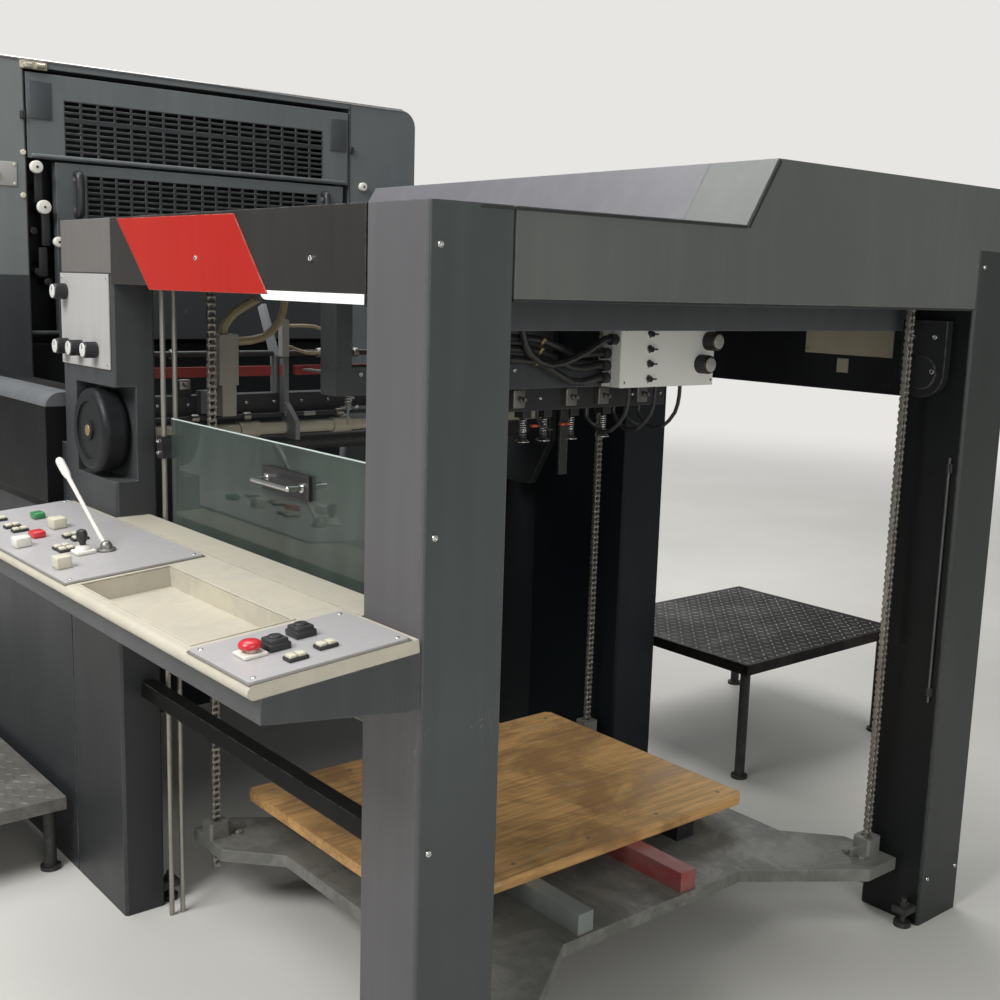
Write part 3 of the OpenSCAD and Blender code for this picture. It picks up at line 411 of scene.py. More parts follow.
@dataclass(frozen=True)
class Paint:
    """Sprayed paint on steel, mottled and rubbed, with brighter worn edges.

    Attributes:
        colour: The fresh paint.
        faded: The paint where it is rubbed.
        worn: What shows through at edges and scratches.
        edge_width: Width of the worn edges.
        edge_share: How bare the worn edges are.
        streaks: Strength of the upright rub marks.
        scuffs: Strength of the scratches.
        dust: Strength of the dust on tops.
        grain: Depth of the paint's peel.
        foot: Strength of the dirt near the floor.
        painted_shade: How far painted shade darkens the paint downwards.
        painted_shade_span: Heights between which that painted shade comes in.
        shine: Strength of the reflection.
        zones: Boxes by two corners from the press's own corner, and the colour in each: some painted shade,
            one a painted highlight.
    """

    name: str
    colour: Triple
    faded: Triple
    worn: Triple = (0.30, 0.30, 0.29)
    roughness: float = 0.42
    edge_width: float = 0.004
    edge_share: float = 0.55
    streaks: float = 0.35
    scuffs: float = 0.35
    dust: float = 0.25
    grain: float = 0.00012
    foot: float = 0.30
    painted_shade: float = 0.0
    painted_shade_span: Pair = (0.1, 1.35)
    shine: float = 0.45
    zones: tuple[tuple[Triple, Triple, Triple], ...] = ()

    def build(self) -> bpy.types.Material:
        """Makes the material.

        Returns:
            Base colour mixed from two tones by broad noise and upright streaks, lightened by dust on tops,
            darkened near the floor by dirt and downwards by painted shade, with scratches and worn edges over
            it.
        """
        box = Paintbox(self.name)
        broad = box.noise(1.6, 5.0, 0.6, warp=0.4).step(0.3, 0.72)
        rub = box.noise(1.0, 4.0, 0.6, stretch=(26.0, 26.0, 1.4)).step(0.42, 0.75)
        tone = (broad * 0.6 + rub * self.streaks).least(1.0)
        colour = box.blend(tone, self.colour, self.faded)
        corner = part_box("near_post")[0]
        # Zones lay other colours on boxes of the part; several are painted shade, one a painted highlight.
        for first, last, other in self.zones:
            here = box.inside(
                (first[0] + corner.x, first[1] + corner.y, first[2]),
                (last[0] + corner.x, last[1] + corner.y, last[2]),
            )
            rubbed = tuple(min(1.0, 1.3 * c + 0.006) for c in other)
            colour = box.blend(here, colour, box.blend(tone, other, rubbed))
        # Darker near the floor by dirt, and downwards by painted shade between two heights.
        low = box.part(box.place(), "Z")
        foot = (1.0 - low.step(0.0, 0.22)) * box.noise(9.0, 5.0, 0.65).step(0.3, 0.7)
        dark = tuple(0.45 * c for c in self.colour)
        shade = (foot * self.foot + (1.0 - low.step(*self.painted_shade_span)) * self.painted_shade).least(1.0)
        colour = box.blend(shade, colour, dark)
        dusty = box.facing_up().step(0.6, 0.95) * box.noise(5.0, 5.0, 0.65).step(0.25, 0.7)
        pale = tuple(0.55 * c + 0.14 for c in self.faded)
        colour = box.blend(dusty * self.dust, colour, pale)
        thin = box.cells(16.0, (9.0, 9.0, 0.6), "DISTANCE_TO_EDGE")
        scratch = (1.0 - thin.step(0.0, 0.012)) * box.noise(3.0, 3.0, 0.6).step(0.58, 0.7)
        chips = box.edge(self.edge_width) * box.noise(38.0, 4.0, 0.7).step(0.34, 0.62)
        bare = (chips * self.edge_share + scratch * self.scuffs).least(1.0)
        colour = box.blend(bare, colour, self.worn)
        smear = box.noise(7.0, 5.0, 0.62, stretch=(1.0, 1.0, 0.5), warp=0.8)
        roughness = (self.roughness - 0.10) + smear * 0.2 + dusty * 0.15 - bare * 0.08
        peel = box.noise(420.0, 2.0, 0.5) * 0.5 + box.noise(6.0, 2.0, 0.5) * 0.5
        return box.surface(
            {
                "Base Color": colour,
                "Roughness": roughness,
                "Normal": box.relief(peel, self.grain, self.edge_width),
                "Specular IOR Level": self.shine,
            }
        )


@dataclass(frozen=True)
class BareMetal:
    """Unpainted metal, ground or rolled, with stains and rust where it has them.

    Attributes:
        colour: The clean metal.
        stain: The stained metal.
        roughness: Roughness where it is clean.
        metallic: 1 for bare metal, less under a film.
        stain_share: Strength of the stains.
        grain: Factors on X, Y and Z that draw the grain out.
        grain_scale: Lines in a metre.
        depth: Depth of the grain.
    """

    name: str
    colour: Triple
    stain: Triple
    roughness: float = 0.34
    metallic: float = 1.0
    stain_share: float = 0.5
    grain: Triple = (1.0, 1.0, 1.0)
    grain_scale: float = 240.0
    depth: float = 0.00006

    def build(self) -> bpy.types.Material:
        """Makes the material.

        Returns:
            Metal whose colour falls to the stain by broad noise, with grain from fine noise
            stretched along the way it was ground.
        """
        box = Paintbox(self.name)
        patch = box.noise(11.0, 6.0, 0.68, warp=0.6).step(0.36, 0.72)
        line = box.noise(self.grain_scale, 3.0, 0.6, stretch=self.grain)
        share = (patch * self.stain_share + line * 0.18).least(1.0)
        colour = box.blend(share, self.colour, self.stain)
        roughness = self.roughness + patch * 0.28 * self.stain_share + (line - 0.5) * 0.16
        return box.surface(
            {
                "Base Color": colour,
                "Metallic": self.metallic * (1.0 - patch * 0.45 * self.stain_share),
                "Roughness": roughness,
                "Normal": box.relief(line + patch * 0.6, self.depth, 0.0015),
            }
        )


@dataclass(frozen=True)
class Plastic:
    """Moulded plastic or rubber with a fine grain and a little grime.

    Attributes:
        colour: The clean plastic.
        grime: The plastic where it is dirty.
        roughness: Roughness where it is clean.
        grime_share: Strength of the grime.
        coat: Weight of a glossy coat.
        shine: Strength of the reflection.
    """

    name: str
    colour: Triple
    grime: Triple
    roughness: float = 0.38
    grime_share: float = 0.3
    coat: float = 0.0
    shine: float = 0.5

    def build(self) -> bpy.types.Material:
        """Makes the material.

        Returns:
            Colour that darkens to the grime by noise, with rubbed edges and a fine relief.
        """
        box = Paintbox(self.name)
        film = box.noise(60.0, 5.0, 0.65, warp=0.5).step(0.35, 0.75)
        pale = tuple(min(1.0, 1.25 * c + 0.03) for c in self.colour)
        colour = box.blend(film * self.grime_share, self.colour, self.grime)
        colour = box.blend(box.edge(0.0012) * 0.5, colour, pale)
        roughness = self.roughness + film * 0.12
        fine = box.noise(900.0, 2.0, 0.5)
        return box.surface(
            {
                "Base Color": colour,
                "Roughness": roughness,
                "Coat Weight": self.coat,
                "Specular IOR Level": self.shine,
                "Normal": box.relief(fine, 0.00004, 0.0012),
            }
        )


@dataclass(frozen=True)
class Laminate:
    """Cream sheet laminate, rubbed grey and stained along the front of the desk."""

    name: str
    colour: Triple = (0.55, 0.505, 0.405)
    rubbed: Triple = (0.39, 0.37, 0.31)
    stain: Triple = (0.26, 0.19, 0.12)

    def build(self) -> bpy.types.Material:
        """Makes the material.

        Returns:
            Cream with broad grey wear, brown specks, and chipped dark edges.
        """
        box = Paintbox(self.name)
        wear = box.noise(6.5, 7.0, 0.66, warp=0.7).step(0.40, 0.68)
        fine = box.noise(46.0, 4.0, 0.6).step(0.45, 0.7)
        colour = box.blend(wear * 0.55 + fine * 0.12, self.colour, self.rubbed)
        speck = box.cells(70.0).step(0.0, 0.16)
        fleck = (1.0 - speck) * box.noise(8.0, 3.0, 0.6).step(0.52, 0.68)
        colour = box.blend(fleck * 0.75, colour, self.stain)
        chips = box.edge(0.003) * box.noise(30.0, 4.0, 0.7).step(0.45, 0.62)
        colour = box.blend(chips * 0.6, colour, self.stain)
        roughness = 0.36 + wear * 0.22
        return box.surface(
            {
                "Base Color": colour,
                "Roughness": roughness,
                "Normal": box.relief(fine, 0.00008, 0.0022),
            }
        )


@dataclass(frozen=True)
class Wood:
    """Plywood pile board, stained, scraped and darkened by oil."""

    name: str
    colour: Triple = (0.90, 0.525, 0.195)
    dark: Triple = (0.290, 0.148, 0.068)
    pale: Triple = (0.86, 0.70, 0.46)

    def build(self) -> bpy.types.Material:
        """Makes the material.

        Returns:
            Grain from noise drawn out along X, blotches of oil, pale scrapes, and dark edges.
        """
        box = Paintbox(self.name)
        grain = box.noise(1.0, 6.0, 0.65, stretch=(5.0, 90.0, 90.0), warp=0.25)
        fibre = box.noise(1.0, 4.0, 0.7, stretch=(22.0, 420.0, 420.0))
        oil = box.noise(3.4, 7.0, 0.68, warp=1.0).step(0.44, 0.64)
        scrape = box.noise(1.0, 5.0, 0.6, stretch=(6.0, 26.0, 26.0), warp=0.5).step(0.60, 0.72)
        colour = box.blend(grain.step(0.3, 0.75) * 0.65, self.colour, self.dark)
        colour = box.blend(scrape * 0.5, colour, self.pale)
        colour = box.blend(oil * 0.62, colour, self.dark)
        rim = box.edge(0.006, 0.01, 0.3) * box.noise(24.0, 4.0, 0.7).step(0.3, 0.6)
        colour = box.blend(rim * 0.6, colour, self.dark)
        height = grain * 0.5 + fibre * 0.5
        return box.surface(
            {
                "Base Color": colour,
                "Roughness": 0.56 + fibre * 0.2 - oil * 0.14,
                "Normal": box.relief(height, 0.0006, 0.002),
            }
        )


@dataclass(frozen=True)
class WornSteel:
    """Painted plate that feet and loads have rubbed: paint, bare steel and rust.

    Attributes:
        bare: The steel where the paint is gone.
        rust: The rust in its pits.
        bare_share: How much of it is bare.
        roughness: Roughness of the paint.
        shine: Strength of the reflection.
    """

    name: str
    paint: Triple
    bare: Triple
    rust: Triple = (0.16, 0.075, 0.035)
    bare_share: float = 0.6
    roughness: float = 0.5
    shine: float = 0.5

    def build(self) -> bpy.types.Material:
        """Makes the material.

        Returns:
            Paint that gives way to bare steel by noise and at edges, with rust in its pits.
        """
        box = Paintbox(self.name)
        worn = box.noise(5.5, 8.0, 0.7, warp=0.7).step(0.42, 0.60)
        lines = box.noise(1.0, 4.0, 0.6, stretch=(60.0, 12.0, 30.0)).step(0.5, 0.7)
        edge = box.edge(0.005)
        bare = (worn * self.bare_share + lines * 0.2 + edge * 0.5).least(1.0)
        pits = box.noise(48.0, 5.0, 0.7).step(0.60, 0.72)
        colour = box.blend(bare, self.paint, self.bare)
        colour = box.blend(pits * 0.55, colour, self.rust)
        return box.surface(
            {
                "Base Color": colour,
                "Metallic": bare * 0.35,
                "Roughness": self.roughness + pits * 0.25 - bare * 0.08,
                "Specular IOR Level": self.shine,
                "Normal": box.relief(worn * 0.5 + pits * -0.6, 0.0004, 0.0025),
            }
        )


@dataclass(frozen=True)
class Glass:
    """Clear safety glass with a green body, smears and dust."""

    name: str
    tint: Triple = (0.74, 0.83, 0.79)

    def build(self) -> bpy.types.Material:
        """Makes the material.

        Returns:
            A mix of a clear and a dusty surface, by smears of noise.
        """
        box = Paintbox(self.name)
        smear = box.noise(4.5, 6.0, 0.66, stretch=(1.0, 1.0, 0.35), warp=1.2).step(0.35, 0.75)
        drops = (1.0 - box.cells(55.0).step(0.05, 0.25)) * box.noise(5.0, 3.0, 0.6).step(0.5, 0.7)
        dust = (smear * 0.20 + drops * 0.18 + 0.10).least(1.0)
        edge = box.edge(0.004, 0.02, 0.3)
        clear = box.node("ShaderNodeBsdfTransparent", {}, {"Color": (*self.tint, 1.0)})
        gloss = {"Color": (1.0, 1.0, 1.0, 1.0), "Roughness": 0.03}
        mirror = box.node("ShaderNodeBsdfAnisotropic", {}, gloss)
        fresnel = box.out("ShaderNodeFresnel", {}, {"IOR": 1.5})
        pane = box.node("ShaderNodeMixShader", {}, {0: fresnel, 1: clear.outputs[0], 2: mirror.outputs[0]})
        film = box.node(
            "ShaderNodeBsdfPrincipled",
            {},
            {"Base Color": (0.150, 0.188, 0.168, 1.0), "Roughness": 0.55},
        )
        share = (dust + edge * 0.7).least(1.0)
        both = box.node("ShaderNodeMixShader", {}, {0: share, 1: pane.outputs[0], 2: film.outputs[0]})
        box.tree.links.new(both.outputs[0], box.final.inputs["Surface"])
        return box.material


@dataclass(frozen=True)
class Glow:
    """A lit tube of milky glass."""

    name: str
    colour: Triple = (0.93, 0.96, 0.92)
    strength: float = 1.0

    def build(self) -> bpy.types.Material:
        """Makes the material.

        Returns:
            A white surface that gives light, a little uneven along its length.
        """
        box = Paintbox(self.name)
        cloud = box.noise(9.0, 2.0, 0.5).step(0.2, 0.8)
        cool = tuple(0.94 * c for c in self.colour)
        colour = box.blend(cloud, self.colour, cool)
        return box.surface(
            {
                "Base Color": colour,
                "Roughness": 0.3,
                "Emission Color": colour,
                "Emission Strength": self.strength,
            }
        )


# Finishes of small pieces that differ from their slot's own
AGED_BRASS = BareMetal("aged brass", (0.46, 0.34, 0.17), (0.20, 0.13, 0.06), 0.4, 0.7)
AGED_CREAM = Plastic("aged cream key", (0.62, 0.59, 0.46), (0.40, 0.36, 0.26), 0.36, 0.35)
CAP_GREY = BareMetal("cap grey", (0.66, 0.66, 0.65), (0.45, 0.45, 0.44), 0.34, 0.5, 0.3)
CATCH_STEEL = BareMetal("catch steel", (0.55, 0.52, 0.40), (0.28, 0.24, 0.14), 0.35, 0.7)
CLIP_BRASS = BareMetal("clip brass", (0.62, 0.50, 0.26), (0.30, 0.22, 0.10), 0.3)
COLLAR_STEEL = BareMetal("roller collar", (0.48, 0.46, 0.43), (0.18, 0.16, 0.13), 0.35)
CORAL = Plastic("coral ring", (0.60, 0.10, 0.04), (0.30, 0.05, 0.03), 0.4)
GROUND_EDGE = Plastic("ground edge", (0.60, 0.70, 0.66), (0.40, 0.46, 0.44), 0.4, 0.2)
HINGE_PAINT = Paint("hinge cover paint", (0.046, 0.051, 0.056), (0.066, 0.072, 0.077))
KNOB_CAP = Plastic("knob cap", (0.62, 0.62, 0.60), (0.45, 0.44, 0.41), 0.35)
PIN_STEEL = BareMetal("pin steel", (0.58, 0.55, 0.50), (0.22, 0.17, 0.12), 0.3)
PUTTY = Plastic("plate seam", (0.20, 0.19, 0.165), (0.12, 0.11, 0.09), 0.5)
ROD_STEEL = BareMetal("post rod steel", (0.15, 0.15, 0.15), (0.08, 0.075, 0.07), 0.5)
SIGNAL_GREEN = Plastic("signal green", (0.03, 0.22, 0.07), (0.02, 0.09, 0.04), 0.34, 0.2, 0.3)
SIGNAL_RED = Plastic("signal red", (0.62, 0.022, 0.030), (0.30, 0.02, 0.02), 0.28, 0.15, 0.4)
SLATE = Plastic("slate button", (0.10, 0.14, 0.19), (0.06, 0.08, 0.10), 0.35)
VALVE_STEEL = BareMetal("worn valve", (0.30, 0.29, 0.27), (0.09, 0.08, 0.07), 0.4)
WAND_STEEL = BareMetal("wand foot steel", (0.30, 0.29, 0.27), (0.16, 0.15, 0.13), 0.45)


class Finishes:
    """Every finish of the press, made once and handed out by slot."""

    def __init__(self) -> None:
        """Lists the recipes. A material is made when it is first asked for."""
        self._made: dict[str, bpy.types.Material] = {}
        self.by_slot = {
            Slot.FRAME: Paint("frame grey", (0.088, 0.092, 0.094), (0.125, 0.126, 0.130)),
            Slot.DARK: Paint("shaded grey", (0.052, 0.057, 0.062), (0.080, 0.086, 0.092)),
            Slot.ROOF: Paint("roof grey", (0.106, 0.105, 0.115), (0.146, 0.145, 0.157), dust=0.35),
            Slot.CHAIN: BareMetal(
                "chain steel", (0.55, 0.53, 0.49), (0.20, 0.15, 0.10), 0.36, stain_share=0.4
            ),
            Slot.CHROME: BareMetal(
                "chrome rod", (0.74, 0.74, 0.73), (0.42, 0.40, 0.37), 0.16, stain_share=0.2
            ),
            Slot.GLASS: Glass("guard glass"),
            Slot.BLACK: Plastic("black plastic", (0.018, 0.018, 0.020), (0.05, 0.048, 0.045), 0.34),
            Slot.LAMINATE: Laminate("desk laminate"),
            Slot.CONSOLE: BareMetal(
                "console plate", (0.50, 0.48, 0.485), (0.35, 0.345, 0.335), 0.42, 0.3, 0.45, (1.0, 0.06, 1.0)
            ),
            Slot.BUTTON: Plastic("button black", (0.022, 0.022, 0.022), (0.05, 0.05, 0.045), 0.4),
            Slot.WHITE: Plastic("white plastic", (0.72, 0.70, 0.63), (0.42, 0.38, 0.30), 0.4),
            Slot.PANEL: Paint(
                "panel grey", (0.36, 0.35, 0.335), (0.42, 0.41, 0.40), (0.50, 0.49, 0.48), 0.4, scuffs=0.2
            ),
            Slot.RED: Paint(
                "red enamel", (0.37, 0.012, 0.008), (0.44, 0.022, 0.014), (0.55, 0.42, 0.34), 0.34,
                scuffs=0.3, dust=0.1, shine=0.25,
            ),
            Slot.CREAM: Paint(
                "aged cream", (0.36, 0.32, 0.235), (0.47, 0.425, 0.325), (0.24, 0.20, 0.14), 0.5, scuffs=0.4
            ),
            Slot.LAMP: Glow("lamp white"),
            Slot.PLATFORM: WornSteel("platform steel", (0.135, 0.135, 0.120), (0.30, 0.295, 0.27)),
            Slot.WOOD: Wood("board wood"),
            Slot.RAIL: WornSteel("rail grey", (0.115, 0.128, 0.118), (0.26, 0.26, 0.24), bare_share=0.4),
            Slot.RED_RAIL: WornSteel("rail red", (0.34, 0.050, 0.048), (0.28, 0.24, 0.22), bare_share=0.3),
            Slot.INNER: Paint("inner dark", (0.019, 0.020, 0.021), (0.036, 0.036, 0.036), (0.20, 0.19, 0.17)),
            Slot.HOSE: Plastic("hose rubber", (0.020, 0.020, 0.021), (0.06, 0.056, 0.05), 0.33),
            Slot.RIBBED: Plastic("ribbed hose", (0.50, 0.42, 0.25), (0.26, 0.20, 0.11), 0.42, 0.4),
            Slot.UNIT: Paint("unit grey", (0.108, 0.121, 0.126), (0.146, 0.158, 0.160)),
            Slot.TREAD: WornSteel("tread metal", (0.105, 0.10, 0.088), (0.27, 0.26, 0.235), bare_share=0.5),
            Slot.FOOT: Plastic("foot black", (0.016, 0.016, 0.016), (0.07, 0.065, 0.055), 0.6, 0.6),
        }

    def of(self, slot: Slot) -> bpy.types.Material:
        """The material of a slot."""
        return self.made(self.by_slot[slot])

    def made(self, recipe: object) -> bpy.types.Material:
        """The material of a recipe, made once.

        Args:
            recipe: A finish with a name and a build method.

        Returns:
            Its material.
        """
        if recipe.name not in self._made:
            self._made[recipe.name] = recipe.build()
        return self._made[recipe.name]

    def by_node(self) -> dict[str, object]:
        """Recipes of nodes that are painted in more than one colour, or in their own."""
        red, cream, grey = (0.36, 0.045, 0.040), (0.46, 0.43, 0.34), (0.20, 0.21, 0.215)
        shadow = (0.003, 0.0035, 0.0045)
        return {
            # Painted shade: a darker copy of the frame paint where the light dims, darker still downwards.
            "right_post": Paint(
                "right post paint", (0.034, 0.040, 0.037), (0.049, 0.054, 0.050), painted_shade=0.4, shine=0.3,
                zones=(
                    ((1.520, -0.01, -0.01), (1.5315, 0.170, 1.510), shadow),
                    ((1.520, 0.1640, -0.01), (1.710, 0.170, 1.510), shadow),
                ),
            ),
            # Painted shade: darker downwards, with shadow zones on its inner faces.
            "near_post": Paint(
                "near post paint", (0.092, 0.090, 0.095), (0.129, 0.124, 0.131), painted_shade=0.5,
                zones=(
                    ((0.1685, -0.01, -0.01), (0.180, 0.170, 1.510), shadow),
                    ((-0.01, 0.1640, -0.01), (0.180, 0.170, 1.510), shadow),
                    # Painted shade: the −Y face, turned away from the key lamp, in a darker, bluer grey.
                    ((0.004, -0.01, -0.01), (0.180, 0.003, 1.660), (0.052, 0.063, 0.062)),
                ),
            ),
            "end_beam": Paint("end beam paint", (0.098, 0.106, 0.098), (0.128, 0.135, 0.125)),
            "drive_column": Paint(
                "drive column paint", (0.006, 0.009, 0.012), (0.010, 0.014, 0.018), (0.06, 0.06, 0.06),
                shine=0.2,
            ),
            "drive_beam": Paint("drive beam paint", (0.010, 0.011, 0.013), (0.018, 0.019, 0.022), shine=0.2),
            "chain_brackets": Paint(
                "carrier paint", (0.013, 0.014, 0.015), (0.024, 0.025, 0.027), shine=0.25
            ),
            "unit_core": Paint("unit core paint", (0.010, 0.011, 0.012), (0.017, 0.018, 0.020), shine=0.2),
            "feed_side_frames": Paint("side frame paint", (0.018, 0.020, 0.023), (0.030, 0.033, 0.037)),
            "infeed_cheeks": Paint("cheek paint", (0.018, 0.020, 0.022), (0.030, 0.032, 0.035)),
            "guard_rods": BareMetal(
                "guard rod steel", (0.42, 0.40, 0.36), (0.20, 0.18, 0.15), 0.42, stain_share=0.4
            ),
            "handwheel": Plastic(
                "handwheel black", (0.011, 0.012, 0.014), (0.022, 0.022, 0.022), 0.42, shine=0.3
            ),
            # Painted shade: a darker, browner copy of the frame paint, where the beam lies in shadow.
            "operator_beam": Paint(
                "operator beam paint", (0.021, 0.0195, 0.018), (0.032, 0.030, 0.0275), shine=0.35
            ),
            # Painted shade: a darker copy of the frame paint for the desk's shadow, darker still downwards;
            # the zone keeps the top of its outer face paler, out of that shade.
            "operator_column": Paint(
                "operator column paint", (0.038, 0.040, 0.043), (0.056, 0.059, 0.063), painted_shade=0.7,
                zones=(((-0.01, 1.170, 1.531), (0.0015, 1.620, 1.660), (0.118, 0.110, 0.104)),),
            ),
            "side_hood": Paint(
                "hood paint", (0.005, 0.005, 0.006), (0.011, 0.011, 0.012), (0.10, 0.10, 0.10), dust=0.04,
                shine=0.12,
                # Painted highlight: a paler band where the hood's rounded top reflects the light.
                zones=(((-0.050, 1.400, 1.206), (0.030, 2.500, 1.245), (0.100, 0.105, 0.112)),),
            ),
            "safety_bar": Paint(
                "bar paint", (0.004, 0.004, 0.004), (0.010, 0.010, 0.009), dust=0.1, shine=0.1
            ),
            "drive_step": WornSteel(
                "drive step steel", (0.012, 0.011, 0.010), (0.034, 0.032, 0.028), (0.04, 0.025, 0.016),
                shine=0.06,
            ),
            "desk_trough": Paint("trough paint", (0.046, 0.050, 0.052), (0.070, 0.075, 0.078)),
            "unit_operator_cover": Paint(
                "unit side paint", (0.155, 0.173, 0.170), (0.190, 0.205, 0.202),
                # Painted shade: the lower part, under the side hood, near black.
                zones=(((-0.300, 2.000, -0.01), (0.400, 3.600, 1.519), (0.036, 0.040, 0.043)),),
            ),
            "upper_guard": Paint(
                "upper guard paint", (0.104, 0.117, 0.123), (0.140, 0.152, 0.156),
                # Painted shade: the grille's bars darkened to stand in for the shade seen through its
                # openings.
                zones=(((0.371, 2.300, 1.884), (1.299, 2.600, 2.053), (0.024, 0.026, 0.028)),),
            ),
            # Painted shade: darker downwards and near black at its foot, where it lies behind the station's
            # beam; the grille's bars are darkened to stand in for the shade seen through its openings.
            "lower_guard": Paint(
                "lower guard paint", (0.085, 0.096, 0.101), (0.116, 0.126, 0.130), painted_shade=0.9,
                painted_shade_span=(1.48, 1.80),
                zones=(
                    ((0.437, 2.300, 1.672), (1.279, 2.600, 1.832), (0.024, 0.026, 0.028)),
                    ((0.300, 2.300, 1.300), (1.420, 2.600, 1.480), (0.012, 0.013, 0.014)),
                ),
            ),
            "air_box": Paint(
                "air box paint", (0.90, 0.90, 0.84), (0.92, 0.92, 0.87), (0.45, 0.44, 0.40), dust=0.05
            ),
            "infeed_bars": Paint(
                "infeed colours", (0.030, 0.032, 0.034), (0.055, 0.056, 0.056), (0.20, 0.19, 0.17),
                zones=(
                    ((0.120, 1.440, 1.105), (1.510, 1.4895, 1.155), cream),
                    ((0.593, 1.408, 1.095), (0.616, 1.4995, 1.322), grey),
                    ((0.592, 1.5105, 1.2205), (0.609, 1.640, 1.470), grey),
                    ((0.655, 1.240, 1.140), (0.690, 1.4845, 1.300), (0.34, 0.34, 0.33)),
                    ((0.120, 1.4845, 1.2695), (1.510, 1.5005, 1.2965), red),
                    ((0.364, 1.390, 1.170), (0.424, 1.442, 1.386), (0.40, 0.385, 0.33)),
                    ((0.595, 1.470, 1.3205), (0.620, 1.505, 1.425), (0.42, 0.42, 0.40)),
                    ((0.340, 1.476, 1.170), (0.470, 1.5045, 1.240), grey),
                ),
            ),
            "board_rails": Paint(
                "rail colours", (0.210, 0.235, 0.220), (0.300, 0.318, 0.300), (0.30, 0.29, 0.26),
                zones=(((1.000, 0.300, 0.0), (1.500, 1.300, 0.300), (0.012, 0.012, 0.013)),),
                edge_share=0.8,
            ),
        }

    def dress_frame(self) -> None:
        """Gives every CAD node its own finish, or that of its slot in the record."""
        own = self.by_node()
        for part in frame["record"]["subparts"]:
            name = part["node"]
            node = frame["nodes"][name]
            node.data.materials.clear()
            slot = Slot(part["material_slot"])
            node.data.materials.append(self.made(own[name]) if name in own else self.of(slot))


